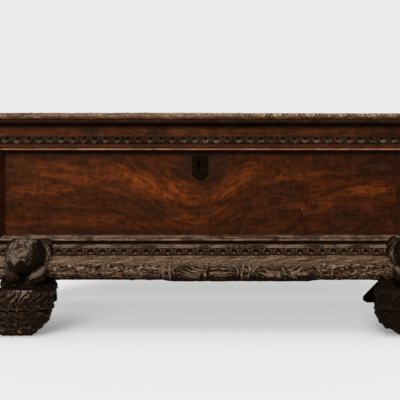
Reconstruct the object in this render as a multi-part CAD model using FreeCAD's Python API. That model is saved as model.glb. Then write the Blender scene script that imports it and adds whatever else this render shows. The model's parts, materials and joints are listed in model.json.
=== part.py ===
import FreeCAD, Part
import math
import os

from FreeCAD import Vector

# Cassone: a long walnut chest with a hinged lid, a carved base and paw feet.
# Millimetres. X runs along the front, the front faces -Y, Z is up from the floor.
# The middle of the footprint is at the origin.

# Heights of the bands of the face, stacked from the floor
rail_bottom_height = 144.0
torus_height = 71.5
lower_egg_height = 21.0
lower_fillet_height = 9.5
lower_groove_height = 10.5
panel_bottom_moulding_height = 16.5
field_height = 238.0
panel_top_moulding_height = 18.0
upper_egg_height = 23.5
frieze_height = 29.5
shadow_gap_height = 8.0
lid_thickness = 25.0

# Lengths along the face, from the left end to the right end
left_stile_width = 53.0
panel_side_moulding_width = 17.0
field_length = 1120.0
right_stile_width = 93.0

# Case boards
case_depth = 450.0
case_seat_height = 46.0
front_board_thickness = 28.0
side_board_thickness = 28.0
back_board_thickness = 25.0
bottom_plank_thickness = 20.0
bottom_rebate = 12.0
dovetail_lap = 6.0
dovetail_count = 4
dovetail_root_share = 0.27
dovetail_tip_share = 0.36
bottom_plank_count = 3

# How far each moulding stands out from the case
frieze_reach = 12.0
upper_egg_top_reach = 12.0
upper_egg_reach = 17.0
upper_egg_foot_reach = 15.0
panel_top_reach = 18.0
panel_top_bead_reach = 22.0
panel_top_bead_height = 6.0
panel_bevel_reach = 2.0
panel_moulding_reach = 12.0
panel_bead_reach = 14.0
panel_bead_width = 7.0
stile_thickness = 14.0
lower_groove_reach = 6.0
lower_fillet_reach = 22.0
lower_egg_top_reach = 19.0
lower_egg_reach = 25.0
lower_egg_foot_reach = 23.0
torus_top_reach = 24.0
torus_reach = 38.0
torus_foot_reach = 14.0
torus_belly_share = 0.55
egg_belly_share = 0.45

# Lid
lid_side_overhang = 20.0
lid_front_overhang = 25.0
lid_rear_plank_width = 210.0
lid_tongue_depth = 8.0
lid_tongue_thickness = 8.0
nosing_reach = 20.0
nosing_cove_reach = 12.0
nosing_cove_height = 8.0
nosing_round = 6.0
nosing_neck = 3.0
batten_width = 45.0
batten_thickness = 22.0
batten_side_gap = 6.0
batten_end_gap = 12.0
batten_nail_inset = 40.0

# Front feet: a round knee in front of leafy flanks, on a paw
front_foot_left_inset = 146.0
front_foot_right_inset = 81.0
knee_radius = 48.0
knee_centre_rise = 73.5
knee_centre_reach = 52.0
paw_drop = 17.0
paw_joint_height = 73.0
paw_front_reach = 88.0
paw_back_reach = 66.0
paw_outer_reach = 84.0
left_paw_inner_reach = 77.0
right_paw_inner_reach = 104.0
paw_heel_inset = 26.0
paw_corner_radius = 34.0
flank_height = 112.0
flank_rise = 6.0
flank_width = 63.0
flank_reach = 46.0
flank_corner_radius = 20.0
neck_radius = 40.0
hock_side_share = 0.80
hock_depth = 60.0
leaf_curl_radius = 17.0
leaf_curl_offset = 27.0
leaf_curl_reach = 52.0
leaf_curl_rise = 26.0
scribe_clearance = 0.3

# Each row: share of the height, of the inner reach, of the outer reach and of the front reach
paw_section_shares = (
    (0.00, 0.36, 0.78, 0.70),
    (0.05, 0.44, 0.84, 0.77),
    (0.12, 0.54, 0.89, 0.85),
    (0.19, 0.68, 0.93, 0.91),
    (0.26, 0.79, 0.96, 0.95),
    (0.38, 0.86, 0.98, 0.98),
    (0.52, 0.93, 1.00, 1.00),
    (0.68, 1.00, 1.00, 1.00),
    (0.88, 0.98, 0.98, 0.97),
    (1.00, 0.90, 0.90, 0.88),
)
flank_section_shares = (
    (0.00, 0.62, 0.62),
    (0.25, 0.84, 0.90),
    (0.60, 1.00, 1.00),
    (0.85, 0.93, 0.92),
    (1.00, 0.70, 0.66),
)

# Rear feet: plain brackets under the back corners
rear_foot_thickness = 45.0
rear_foot_shoulder_width = 100.0
rear_foot_side_spread = 34.0
rear_foot_waist_height = 72.0
rear_foot_toe_height = 14.0
left_rear_waist_width = 92.0
left_rear_toe_width = 97.0
right_rear_waist_width = 12.0
right_rear_toe_width = 68.0
back_rail_thickness = 22.0
back_rail_tenon_length = 18.0
back_rail_tenon_thickness = 9.0
back_rail_tenon_inset = 8.0

# Pegs through the case bottom into the feet
dowel_radius = 8.0
dowel_depth = 40.0
dowel_clearance = 0.15
front_dowel_offset = 30.0
front_dowel_inset = 44.0
rear_dowel_side_inset = 44.0
rear_dowel_back_inset = 27.0

# Strap hinges
hinge_spacing = 800.0
hinge_width = 54.0
hinge_knuckle_radius = 6.0
hinge_clearance = 0.5
hinge_knuckle_gap = 0.3
hinge_pin_radius = 2.5
hinge_bore_clearance = 0.1
hinge_pin_head_radius = 4.2
hinge_pin_head_height = 2.0
hinge_leaf_thickness = 3.0
hinge_body_leaf_length = 95.0
hinge_lid_leaf_length = 165.0
hinge_square_length = 22.0
hinge_tip_share = 0.35
hinge_nail_first = 34.0
hinge_body_nail_pitch = 24.0
hinge_lid_nail_pitch = 48.0
hinge_nail_count = 3

# Wrought nails with faceted heads
nail_head_radius = 4.5
nail_head_height = 2.0
nail_head_top_share = 0.45
nail_shank_radius = 1.6
nail_tip_share = 0.4
nail_length = 19.0
nail_hole_clearance = 0.1
small_nail_share = 0.55

# Lock, measured from the middle of the field and from the top of the case
keyhole_offset = 6.6
keyhole_drop = 112.4
keyhole_head_radius = 6.0
keyhole_slot_width = 6.0
keyhole_slot_drop = 20.0
escutcheon_offset = 2.4
escutcheon_width = 46.6
escutcheon_rise = 20.2
escutcheon_fall = 47.8
escutcheon_thickness = 2.0
escutcheon_shoulder_share = 0.36
escutcheon_side_bulge_share = 0.84
escutcheon_waist_share = 0.14
escutcheon_nail_inset = 5.0
lock_plate_width = 150.0
lock_plate_top_drop = 10.0
lock_plate_margin = 24.0
lock_plate_thickness = 2.5
lock_case_width = 114.0
lock_case_depth = 22.0
lock_case_wall = 2.0
lock_case_top_drop = 15.0
lock_case_margin = 14.0
lock_nail_inset = 9.0
staple_wire_width = 6.0
staple_leg_thickness = 3.0
staple_eye_clearance = 1.0
staple_eye_extra = 2.5
staple_sill = 5.0
staple_flange_length = 32.0
staple_flange_width = 18.0
staple_flange_thickness = 2.5
staple_tang_radius = 2.0
staple_tang_length = 16.0
staple_slot_side_clearance = 1.5
bolt_drop = 34.0
bolt_height = 8.0
bolt_thickness = 5.0
bolt_setback = 2.0
bolt_length = 42.0
bolt_arm_width = 8.0
key_bit_reach = 20.0
bolt_talon_length = 46.0
bolt_guide_setback = 11.0
bolt_guide_width = 7.0
bolt_guide_wall = 4.0
bolt_clearance = 0.3
key_post_radius = 2.2
spring_thickness = 1.2
spring_run = 50.0
spring_rise = 24.0
spring_sag_share = 0.75

# One overrun for every cut that passes right through
overrun = 5.0

# How far in from its corner a quarter round passes, as a share of its radius
quarter_round_share = 1 - math.cos(math.pi / 4)

# Degrees in a quarter turn
quarter_turn = 90.0

# Levels worked out from the stack
torus_top = rail_bottom_height + torus_height
lower_egg_top = torus_top + lower_egg_height
lower_fillet_top = lower_egg_top + lower_fillet_height
groove_top = lower_fillet_top + lower_groove_height
field_bottom = groove_top + panel_bottom_moulding_height
field_top = field_bottom + field_height
panel_top = field_top + panel_top_moulding_height
upper_egg_top = panel_top + upper_egg_height
frieze_top = upper_egg_top + frieze_height
case_top = frieze_top + shadow_gap_height
lid_top = case_top + lid_thickness
case_bottom = rail_bottom_height + case_seat_height
knee_centre_height = rail_bottom_height + knee_centre_rise
flank_bottom_height = rail_bottom_height + flank_rise
leaf_curl_height = rail_bottom_height + leaf_curl_rise
paw_height = rail_bottom_height - paw_drop
floor_top = case_bottom + bottom_plank_thickness

# Places in plan, with the footprint centred on the origin
panel_length = field_length + 2 * panel_side_moulding_width
case_length = left_stile_width + panel_length + right_stile_width
case_left = -case_length / 2
case_right = case_length / 2
panel_left = case_left + left_stile_width
panel_right = case_right - right_stile_width
field_left = panel_left + panel_side_moulding_width
field_right = panel_right - panel_side_moulding_width
field_middle = (field_left + field_right) / 2
left_foot_x = case_left + front_foot_left_inset
right_foot_x = case_right - front_foot_right_inset
front_reach = max(knee_centre_reach + knee_radius, paw_front_reach)
back_reach = hinge_clearance + 2 * hinge_knuckle_radius
case_front = (front_reach - back_reach - case_depth) / 2
case_back = case_front + case_depth
inner_left = case_left + side_board_thickness
inner_right = case_right - side_board_thickness
inner_front = case_front + front_board_thickness
inner_back = case_back - back_board_thickness
lid_left = case_left - lid_side_overhang
lid_right = case_right + lid_side_overhang
lid_front = case_front - lid_front_overhang
hinge_axis_y = case_back + hinge_clearance + hinge_knuckle_radius
keyhole_x = field_middle - keyhole_offset
keyhole_z = case_top - keyhole_drop
lock_face = inner_front + lock_plate_thickness
bolt_y = lock_face + lock_case_depth / 2
bolt_z = case_top - bolt_drop
talon_z = keyhole_z + key_bit_reach


def box(x0, x1, y0, y1, z0, z1):
    return Part.makeBox(x1 - x0, y1 - y0, z1 - z0, Vector(x0, y0, z0))


def fused(shapes):
    whole = shapes[0]
    for shape in shapes[1:]:
        whole = whole.fuse(shape)
    return whole.removeSplitter()


def outline(start, steps, place):
    """A closed wire: a step of two numbers is a line, one of four an arc by way of a middle point."""
    edges = []
    here = start
    for step in steps:
        end = step[-2:]
        if len(step) == 2:
            edges.append(Part.LineSegment(place(*here), place(*end)).toShape())
        else:
            edges.append(Part.Arc(place(*here), place(*step[:2]), place(*end)).toShape())
        here = end
    return Part.Wire(edges)


def closed(points):
    return points[0], list(points[1:]) + [points[0]]


def prism(wire, run):
    return Part.Face(wire).extrude(run)


def along_x(profile, x0, x1):
    """Extrude an outline of (y, z) points along X."""
    wire = outline(*profile, lambda y, z: Vector(x0, y, z))
    return prism(wire, Vector(x1 - x0, 0, 0))


def along_y(profile, y0, y1):
    """Extrude an outline of (x, z) points along Y."""
    wire = outline(*profile, lambda x, z: Vector(x, y0, z))
    return prism(wire, Vector(0, y1 - y0, 0))


def along_z(profile, z0, z1):
    """Extrude an outline of (x, y) points along Z."""
    wire = outline(*profile, lambda x, y: Vector(x, y, z0))
    return prism(wire, Vector(0, 0, z1 - z0))


def mitred_runs(profile, left, right, front, back, reach):
    """Front, left and right runs of a moulding whose profile is (reach, height), mitred in plan."""
    z0 = rail_bottom_height - overrun
    z1 = lid_top + overrun
    steps = profile[1]
    start = profile[0]
    front_wire = outline(start, steps, lambda out, z: Vector(left - reach, front - out, z))
    left_wire = outline(start, steps, lambda out, z: Vector(left - out, front - reach, z))
    right_wire = outline(start, steps, lambda out, z: Vector(right + out, front - reach, z))
    front_run = prism(front_wire, Vector(right - left + 2 * reach, 0, 0))
    left_run = prism(left_wire, Vector(0, back - front + reach, 0))
    right_run = prism(right_wire, Vector(0, back - front + reach, 0))
    front_plan = closed([(left, front), (right, front), (right + reach, front - reach),
                         (left - reach, front - reach)])
    left_plan = closed([(left, front), (left, back), (left - reach, back), (left - reach, front - reach)])
    right_plan = closed([(right, front), (right, back), (right + reach, back),
                         (right + reach, front - reach)])
    return (front_run.common(along_z(front_plan, z0, z1)),
            left_run.common(along_z(left_plan, z0, z1)),
            right_run.common(along_z(right_plan, z0, z1)))


def nail(place, inward, size_share=1.0):
    head = Part.makeCone(nail_head_radius * size_share, nail_head_radius * size_share * nail_head_top_share,
                         nail_head_height * size_share, place, inward * -1)
    shank = Part.makeCone(nail_shank_radius * size_share, nail_shank_radius * size_share * nail_tip_share,
                          nail_length * size_share, place, inward)
    return head.fuse(shank).removeSplitter()


def nail_hole(place, inward, size_share=1.0):
    radius = nail_shank_radius * size_share + nail_hole_clearance
    return Part.makeCylinder(radius, nail_length * size_share + nail_hole_clearance, place, inward)


def holed(shape, cutters):
    return shape.cut(Part.makeCompound(cutters))


# Case boards
def bottom_space():
    return box(inner_left - bottom_rebate, inner_right + bottom_rebate,
               inner_front - bottom_rebate, inner_back + bottom_rebate, case_bottom, floor_top)


def dovetails(x0, x1, root_y, tip_y):
    pitch = (case_top - case_bottom) / dovetail_count
    tails = []
    for row in range(dovetail_count):
        middle = case_bottom + pitch * (row + 0.5)
        root = pitch * dovetail_root_share
        tip = pitch * dovetail_tip_share
        tail = closed([(root_y, middle - root), (tip_y, middle - tip), (tip_y, middle + tip),
                       (root_y, middle + root)])
        tails.append(along_x(tail, x0, x1))
    return tails


def front_tails():
    tip_y = case_front + dovetail_lap
    return (dovetails(case_left, inner_left, inner_front, tip_y)
            + dovetails(inner_right, case_right, inner_front, tip_y))


def back_tails():
    tip_y = case_back - dovetail_lap
    return (dovetails(case_left, inner_left, inner_back, tip_y)
            + dovetails(inner_right, case_right, inner_back, tip_y))


def keyhole(y0, y1):
    head = Part.makeCylinder(keyhole_head_radius, y1 - y0, Vector(keyhole_x, y0, keyhole_z), Vector(0, 1, 0))
    half = keyhole_slot_width / 2
    slot = box(keyhole_x - half, keyhole_x + half, y0, y1, keyhole_z - keyhole_slot_drop, keyhole_z)
    return head.fuse(slot).removeSplitter()


def front_board():
    board = box(case_left, case_right, case_front, inner_front, case_bottom, case_top)
    cutters = [bottom_space(), keyhole(case_front - overrun, inner_front + overrun)]
    cutters += front_tails()
    cutters += [nail_hole(place, Vector(0, -1, 0)) for place in lock_nail_places()]
    cutters += [nail_hole(place, Vector(0, 1, 0), small_nail_share) for place in escutcheon_nail_places()]
    return holed(board, cutters)


def back_board():
    board = box(case_left, case_right, inner_back, case_back, case_bottom, case_top)
    cutters = [bottom_space()] + back_tails()
    cutters += [nail_hole(place, Vector(0, -1, 0)) for place in hinge_body_nail_places()]
    return holed(board, cutters)


def side_board(x0, x1):
    depth_front = case_front + dovetail_lap
    depth_back = case_back - dovetail_lap
    board = fused([box(x0, x1, inner_front, inner_back, case_bottom, case_top)]
                  + dovetails(x0, x1, inner_front, depth_front)
                  + dovetails(x0, x1, inner_back, depth_back))
    return board.cut(bottom_space())


def bottom_plank(row):
    space = bottom_space().BoundBox
    width = space.YLength / bottom_plank_count
    plank = box(space.XMin, space.XMax, space.YMin + width * row, space.YMin + width * (row + 1),
                space.ZMin, space.ZMax)
    return holed(plank, [dowel(place, dowel_clearance) for place in dowel_places()])


# Face and end mouldings
def frieze_boards():
    profile = closed([(0, upper_egg_top), (frieze_reach, upper_egg_top), (frieze_reach, frieze_top),
                      (0, frieze_top)])
    return mitred_runs(profile, case_left, case_right, case_front, case_back, 2 * frieze_reach)


def upper_egg_mouldings():
    belly = panel_top + upper_egg_height * egg_belly_share
    steps = [(upper_egg_foot_reach, panel_top),
             (upper_egg_reach, belly, upper_egg_top_reach, upper_egg_top),
             (0, upper_egg_top), (0, panel_top)]
    return mitred_runs(((0, panel_top), steps), case_left, case_right, case_front, case_back,
                       2 * upper_egg_reach)


def lower_egg_mouldings():
    belly = torus_top + lower_egg_height * egg_belly_share
    steps = [(lower_egg_foot_reach, torus_top),
             (lower_egg_reach, belly, lower_egg_top_reach, lower_egg_top),
             (lower_fillet_reach, lower_egg_top), (lower_fillet_reach, lower_fillet_top),
             (lower_groove_reach, lower_fillet_top), (lower_groove_reach, groove_top),
             (0, groove_top), (0, torus_top)]
    return mitred_runs(((0, torus_top), steps), case_left, case_right, case_front, case_back,
                       2 * lower_egg_reach)


def torus_rails():
    belly = rail_bottom_height + torus_height * torus_belly_share
    steps = [(torus_foot_reach, rail_bottom_height),
             (torus_reach, belly, torus_top_reach, torus_top),
             (0, torus_top), (0, rail_bottom_height)]
    return mitred_runs(((0, rail_bottom_height), steps), case_left, case_right, case_front, case_back,
                       2 * torus_reach)


def stile(x0, x1):
    return box(x0, x1, case_front - stile_thickness, case_front, groove_top, panel_top)


def panel_wedge(points):
    return along_y(closed(points), case_front - 2 * panel_top_bead_reach, case_front)


def panel_moulding_top():
    bead_top = field_top + panel_top_bead_height
    bead_middle = field_top + panel_top_bead_height / 2
    steps = [(panel_top_reach, field_top),
             (panel_top_bead_reach, bead_middle, panel_top_reach, bead_top),
             (panel_top_reach, panel_top), (0, panel_top), (0, field_top)]
    wire = outline((0, field_top), steps, lambda out, z: Vector(panel_left, case_front - out, z))
    run = prism(wire, Vector(panel_length, 0, 0))
    return run.common(panel_wedge([(panel_left, panel_top), (panel_right, panel_top),
                                   (field_right, field_top), (field_left, field_top)]))


def panel_edge_steps(inner, outer, swap):
    """The bevel, step and bead of the panel moulding, from the field edge to its outer edge."""
    outward = 1 if outer > inner else -1
    bead_inner = outer - outward * panel_bead_width
    bead_middle = outer - outward * panel_bead_width / 2
    points = [(panel_bevel_reach, inner), (panel_moulding_reach, bead_inner),
              (panel_bead_reach, bead_middle, panel_moulding_reach, outer),
              (0, outer), (0, inner)]
    if not swap:
        return (0, inner), points
    turned = []
    for step in points:
        pairs = [step[i:i + 2] for i in range(0, len(step), 2)]
        turned.append(tuple(value for pair in pairs for value in (pair[1], pair[0])))
    return (inner, 0), turned


def panel_moulding_bottom():
    start, steps = panel_edge_steps(field_bottom, groove_top, False)
    wire = outline(start, steps, lambda out, z: Vector(panel_left, case_front - out, z))
    run = prism(wire, Vector(panel_length, 0, 0))
    return run.common(panel_wedge([(panel_left, groove_top), (panel_right, groove_top),
                                   (field_right, field_bottom), (field_left, field_bottom)]))


def panel_moulding_side(inner, outer):
    start, steps = panel_edge_steps(inner, outer, True)
    wire = outline(start, steps, lambda x, out: Vector(x, case_front - out, groove_top))
    run = prism(wire, Vector(0, 0, panel_top - groove_top))
    return run.common(panel_wedge([(inner, field_bottom), (outer, groove_top), (outer, panel_top),
                                   (inner, field_top)]))


# Feet
def rounded_section(x0, x1, y0, y1, radius, z, heel=0.0):
    """A rounded outline in plan whose back corners are drawn in by the heel."""
    corner = radius * quarter_round_share
    back0 = x0 + heel
    back1 = x1 - heel
    steps = [(x1 - radius, y0), (x1 - corner, y0 + corner, x1, y0 + radius),
             (back1, y1 - radius), (back1 - corner, y1 - corner, back1 - radius, y1),
             (back0 + radius, y1), (back0 + corner, y1 - corner, back0, y1 - radius),
             (x0, y0 + radius), (x0 + corner, y0 + corner, x0 + radius, y0)]
    return outline((x0 + radius, y0), steps, lambda x, y: Vector(x, y, z))


def paw(middle, inward, inner_reach):
    sections = []
    for height_share, inner_share, outer_share, front_share in paw_section_shares:
        inner = middle + inward * inner_reach * inner_share
        outer = middle - inward * paw_outer_reach * outer_share
        sections.append(rounded_section(min(inner, outer), max(inner, outer),
                                        case_front - paw_front_reach * front_share,
                                        case_front + paw_back_reach * front_share,
                                        paw_corner_radius * inner_share, paw_height * height_share,
                                        paw_heel_inset * inner_share))
    return Part.makeLoft(sections, True, False)


def hock(middle, inward, inner_reach):
    """The block that rises from the back of the paw to the case bottom, behind the neck."""
    inner = middle + inward * inner_reach * hock_side_share
    outer = middle - inward * paw_outer_reach * hock_side_share
    wire = rounded_section(min(inner, outer), max(inner, outer), case_front - torus_foot_reach,
                           case_front + hock_depth, torus_foot_reach, paw_joint_height,
                           paw_heel_inset * hock_side_share)
    return prism(wire, Vector(0, 0, case_bottom - paw_joint_height))


def foot_flanks(middle):
    sections = []
    for height_share, width_share, reach_share in flank_section_shares:
        half = flank_width * width_share
        sections.append(rounded_section(middle - half, middle + half,
                                        case_front - flank_reach * reach_share,
                                        case_front + hock_depth / 2,
                                        flank_corner_radius * width_share,
                                        flank_bottom_height + flank_height * height_share))
    return Part.makeLoft(sections, True, False)


def scribed_space(middle):
    """What the foot is scribed to: the rail, the egg moulding, the panel moulding and the case."""
    rail_out = scribe_clearance
    egg_out = max(lower_egg_reach, lower_fillet_reach) + scribe_clearance
    panel_out = max(panel_bead_reach, stile_thickness) + scribe_clearance
    belly = rail_bottom_height + torus_height * torus_belly_share
    steps = [(-torus_foot_reach - rail_out, rail_bottom_height),
             (-torus_reach - rail_out, belly, -torus_top_reach - rail_out, torus_top),
             (-egg_out, torus_top), (-egg_out, lower_fillet_top), (-panel_out, lower_fillet_top),
             (-panel_out, lid_top), (case_depth, lid_top), (case_depth, case_bottom), (0, case_bottom),
             (0, rail_bottom_height)]
    half = 2 * (paw_outer_reach + flank_width)
    wire = outline((0, rail_bottom_height), steps, lambda y, z: Vector(middle - half, case_front + y, z))
    return prism(wire, Vector(2 * half, 0, 0))


def ball(radius, centre):
    """A sphere with its seam turned to the back, where the foot covers it."""
    sphere = Part.makeSphere(radius, centre)
    sphere.rotate(centre, Vector(0, 0, 1), quarter_turn)
    return sphere


def upper_foot(middle, inward, inner_reach):
    joint = box(middle - 2 * inner_reach, middle + 2 * inner_reach, case_front - 2 * paw_front_reach,
                case_front + 2 * paw_back_reach, paw_joint_height, lid_top)
    upper_paw = paw(middle, inward, inner_reach).common(joint)
    neck = Part.makeCylinder(neck_radius, knee_centre_height - paw_joint_height,
                             Vector(middle, case_front, paw_joint_height))
    knee = ball(knee_radius, Vector(middle, case_front - knee_centre_reach, knee_centre_height))
    curls = [ball(leaf_curl_radius, Vector(middle + side * leaf_curl_offset,
                                           case_front - leaf_curl_reach, leaf_curl_height))
             for side in (-1, 1)]
    whole = fused([upper_paw, hock(middle, inward, inner_reach), neck, foot_flanks(middle), knee] + curls)
    cutters = [dowel(place, dowel_clearance) for place in dowel_places()]
    return holed(whole.cut(scribed_space(middle)), cutters)


def paw_block(middle, inward, inner_reach):
    below = box(middle - 2 * inner_reach, middle + 2 * inner_reach, case_front - 2 * paw_front_reach,
                case_front + 2 * paw_back_reach, 0, paw_joint_height)
    return paw(middle, inward, inner_reach).common(below)


def rear_foot(side, waist_width, toe_width):
    end = case_right
    spread = end + rear_foot_side_spread
    shoulder = end - rear_foot_shoulder_width
    waist = end - waist_width
    toe = end - toe_width
    places = [(spread, 0), (toe, 0), (toe, rear_foot_toe_height), (waist, rear_foot_waist_height),
              (shoulder, rail_bottom_height), (shoulder, case_bottom), (end, case_bottom),
              (end, rail_bottom_height), (spread, rail_bottom_height)]
    front = case_back - rear_foot_thickness
    bracket = along_y(closed([(side * x, z) for x, z in places]), front, case_back)
    cutters = [back_rail_tenons()] + [dowel(place, dowel_clearance) for place in dowel_places()]
    return holed(bracket, cutters)


def back_rail_tenons():
    half = case_length / 2 - rear_foot_shoulder_width + back_rail_tenon_length
    front = case_back - back_rail_thickness / 2 - back_rail_tenon_thickness / 2
    return box(-half, half, front, front + back_rail_tenon_thickness,
               rail_bottom_height + back_rail_tenon_inset, case_bottom - back_rail_tenon_inset)


def back_base_rail():
    half = case_length / 2 - rear_foot_shoulder_width
    rail = box(-half, half, case_back - back_rail_thickness, case_back, rail_bottom_height, case_bottom)
    return fused([rail, back_rail_tenons()])


def dowel_places():
    places = []
    for middle in (left_foot_x, right_foot_x):
        for side in (-1, 1):
            places.append(Vector(middle + side * front_dowel_offset, case_front + front_dowel_inset, 0))
    for side in (-1, 1):
        places.append(Vector(side * (case_length / 2 - rear_dowel_side_inset),
                             case_back - rear_dowel_back_inset, 0))
    return places


def dowel(place, extra=0.0):
    bottom = case_bottom - dowel_depth
    return Part.makeCylinder(dowel_radius + extra, floor_top - bottom, Vector(place.x, place.y, bottom))


# Lid
def lid_planks():
    joint = case_back - lid_rear_plank_width
    middle = case_top + lid_thickness / 2
    half = lid_tongue_thickness / 2
    tongue = box(lid_left, lid_right, joint - lid_tongue_depth, joint, middle - half, middle + half)
    rear = fused([box(lid_left, lid_right, joint, case_back, case_top, lid_top), tongue])
    front = box(lid_left, lid_right, lid_front, joint, case_top, lid_top).cut(tongue)
    cutters = [lid_leaf_plate(side * hinge_spacing / 2) for side in (-1, 1)]
    cutters += [nail_hole(place, Vector(0, 0, 1)) for place in hinge_lid_nail_places()]
    cutters += [batten_nail_hole(place) for place in batten_nail_places()]
    cutters += staple_tangs(nail_hole_clearance)
    return holed(front, cutters), holed(rear, cutters)


def lid_nosings():
    cove_top = case_top + nosing_cove_height
    cove_middle = case_top + nosing_cove_height / 2
    corner = nosing_round * quarter_round_share
    steps = [(nosing_cove_reach, case_top),
             (nosing_cove_reach + nosing_neck / 2, cove_middle, nosing_reach - nosing_neck, cove_top),
             (nosing_reach, cove_top + nosing_neck), (nosing_reach, lid_top - nosing_round),
             (nosing_reach - corner, lid_top - corner, nosing_reach - nosing_round, lid_top),
             (0, lid_top), (0, case_top)]
    return mitred_runs(((0, case_top), steps), lid_left, lid_right, lid_front, case_back, 2 * nosing_reach)


def batten_span(side):
    outer = case_length / 2 - side_board_thickness - batten_side_gap
    inner = outer - batten_width
    return min(side * inner, side * outer), max(side * inner, side * outer)


def batten(side):
    x0, x1 = batten_span(side)
    block = box(x0, x1, inner_front + batten_end_gap, inner_back - batten_end_gap,
                case_top - batten_thickness, case_top)
    return holed(block, [batten_nail_hole(place) for place in batten_nail_places()])


def batten_nail_places():
    first = inner_front + batten_end_gap + batten_nail_inset
    last = inner_back - batten_end_gap - batten_nail_inset
    joint = case_back - lid_rear_plank_width
    places = []
    for side in (-1, 1):
        x0, x1 = batten_span(side)
        for y in (first, (first + joint) / 2, last):
            places.append(Vector((x0 + x1) / 2, y, case_top - batten_thickness))
    return places


def batten_nail_length():
    return batten_thickness + lid_thickness / 2


def batten_nail_hole(place):
    return Part.makeCylinder(nail_shank_radius + nail_hole_clearance,
                             batten_nail_length() + nail_hole_clearance, place)


def batten_nail(place):
    """A longer nail than the rest, through the batten and up into the lid."""
    head = Part.makeCone(nail_head_radius, nail_head_radius * nail_head_top_share, nail_head_height,
                         place, Vector(0, 0, -1))
    shank = Part.makeCone(nail_shank_radius, nail_shank_radius * nail_tip_share,
                          batten_nail_length(), place)
    return head.fuse(shank).removeSplitter()


# Hinges
def knuckle(x0, x1, radius):
    return Part.makeCylinder(radius, x1 - x0, Vector(x0, hinge_axis_y, case_top), Vector(1, 0, 0))


def body_leaf(middle):
    half = hinge_width / 2
    third = hinge_width / 6
    tip = half * hinge_tip_share
    top = case_top - hinge_clearance
    square = top - hinge_square_length
    bottom = top - hinge_body_leaf_length
    plate = along_y(closed([(middle - half, top), (middle + half, top), (middle + half, square),
                            (middle + tip, bottom), (middle - tip, bottom), (middle - half, square)]),
                    case_back, case_back + hinge_leaf_thickness)
    leaf = fused([plate, knuckle(middle - half, middle - third, hinge_knuckle_radius),
                  knuckle(middle + third, middle + half, hinge_knuckle_radius)])
    cutters = [knuckle(middle - third, middle + third, hinge_knuckle_radius + hinge_clearance),
               knuckle(middle - hinge_width, middle + hinge_width, hinge_pin_radius + hinge_bore_clearance)]
    cutters += [nail_hole(place, Vector(0, -1, 0)) for place in hinge_body_nail_places()]
    return holed(leaf, cutters)


def lid_leaf_plate(middle):
    half = hinge_width / 2
    tip = half * hinge_tip_share
    square = case_back - hinge_square_length
    end = case_back - hinge_lid_leaf_length
    shape = closed([(middle - half, case_back), (middle + half, case_back), (middle + half, square),
                    (middle + tip, end), (middle - tip, end), (middle - half, square)])
    return along_z(shape, case_top, case_top + hinge_leaf_thickness)


def lid_leaf(middle):
    inner = hinge_width / 6 - hinge_knuckle_gap
    neck = box(middle - inner, middle + inner, case_back - hinge_square_length, hinge_axis_y,
               case_top, case_top + hinge_leaf_thickness)
    leaf = fused([lid_leaf_plate(middle), neck, knuckle(middle - inner, middle + inner, hinge_knuckle_radius)])
    cutters = [knuckle(middle - hinge_width, middle + hinge_width, hinge_pin_radius + hinge_bore_clearance)]
    cutters += [nail_hole(place, Vector(0, 0, 1)) for place in hinge_lid_nail_places()]
    return holed(leaf, cutters)


def hinge_pin(middle):
    half = hinge_width / 2
    head = hinge_pin_head_height
    return fused([knuckle(middle - half - head, middle + half + head, hinge_pin_radius),
                  knuckle(middle - half - head, middle - half, hinge_pin_head_radius),
                  knuckle(middle + half, middle + half + head, hinge_pin_head_radius)])


def hinge_body_nail_places():
    return [Vector(side * hinge_spacing / 2, case_back + hinge_leaf_thickness,
                   case_top - hinge_nail_first - row * hinge_body_nail_pitch)
            for side in (-1, 1) for row in range(hinge_nail_count)]


def hinge_lid_nail_places():
    return [Vector(side * hinge_spacing / 2,
                   inner_back - hinge_nail_first / 2 - row * hinge_lid_nail_pitch, case_top)
            for side in (-1, 1) for row in range(hinge_nail_count)]


# Lock
def escutcheon():
    middle = field_middle - escutcheon_offset
    half = escutcheon_width / 2
    top = keyhole_z + escutcheon_rise
    bottom = keyhole_z - escutcheon_fall
    height = top - bottom
    shoulder = bottom + height * escutcheon_shoulder_share
    bulge = half * escutcheon_side_bulge_share
    waist = bottom + height * escutcheon_waist_share
    steps = [(middle + half, top), (middle + half, shoulder),
             (middle + bulge, waist, middle, bottom),
             (middle - bulge, waist, middle - half, shoulder), (middle - half, top)]
    plate = along_y(((middle - half, top), steps), case_front - escutcheon_thickness, case_front)
    cutters = [keyhole(case_front - overrun, case_front + overrun)]
    cutters += [nail_hole(place, Vector(0, 1, 0), small_nail_share) for place in escutcheon_nail_places()]
    return holed(plate, cutters)


def escutcheon_nail_places():
    middle = field_middle - escutcheon_offset
    side = escutcheon_width / 2 - escutcheon_nail_inset
    top = keyhole_z + escutcheon_rise - escutcheon_nail_inset
    bottom = keyhole_z - escutcheon_fall + 2 * escutcheon_nail_inset
    low = keyhole_z - keyhole_slot_drop
    face = case_front - escutcheon_thickness
    return [Vector(middle - side, face, top), Vector(middle + side, face, top),
            Vector(middle - side, face, low), Vector(middle + side, face, low),
            Vector(middle, face, bottom)]


def lock_plate_bottom():
    return keyhole_z - keyhole_slot_drop - lock_plate_margin


def bolt_guide(z):
    x1 = field_middle - bolt_guide_setback
    x0 = x1 - bolt_guide_width
    half = bolt_height / 2
    back = bolt_y + bolt_thickness / 2 + bolt_guide_wall
    block = box(x0, x1, lock_face - lock_plate_thickness / 2, back,
                z - half - bolt_guide_wall, z + half + bolt_guide_wall)
    way = box(x0 - overrun, x1 + overrun, bolt_y - bolt_thickness / 2 - bolt_clearance,
              bolt_y + bolt_thickness / 2 + bolt_clearance,
              z - half - bolt_clearance, z + half + bolt_clearance)
    return block.cut(way)


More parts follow.
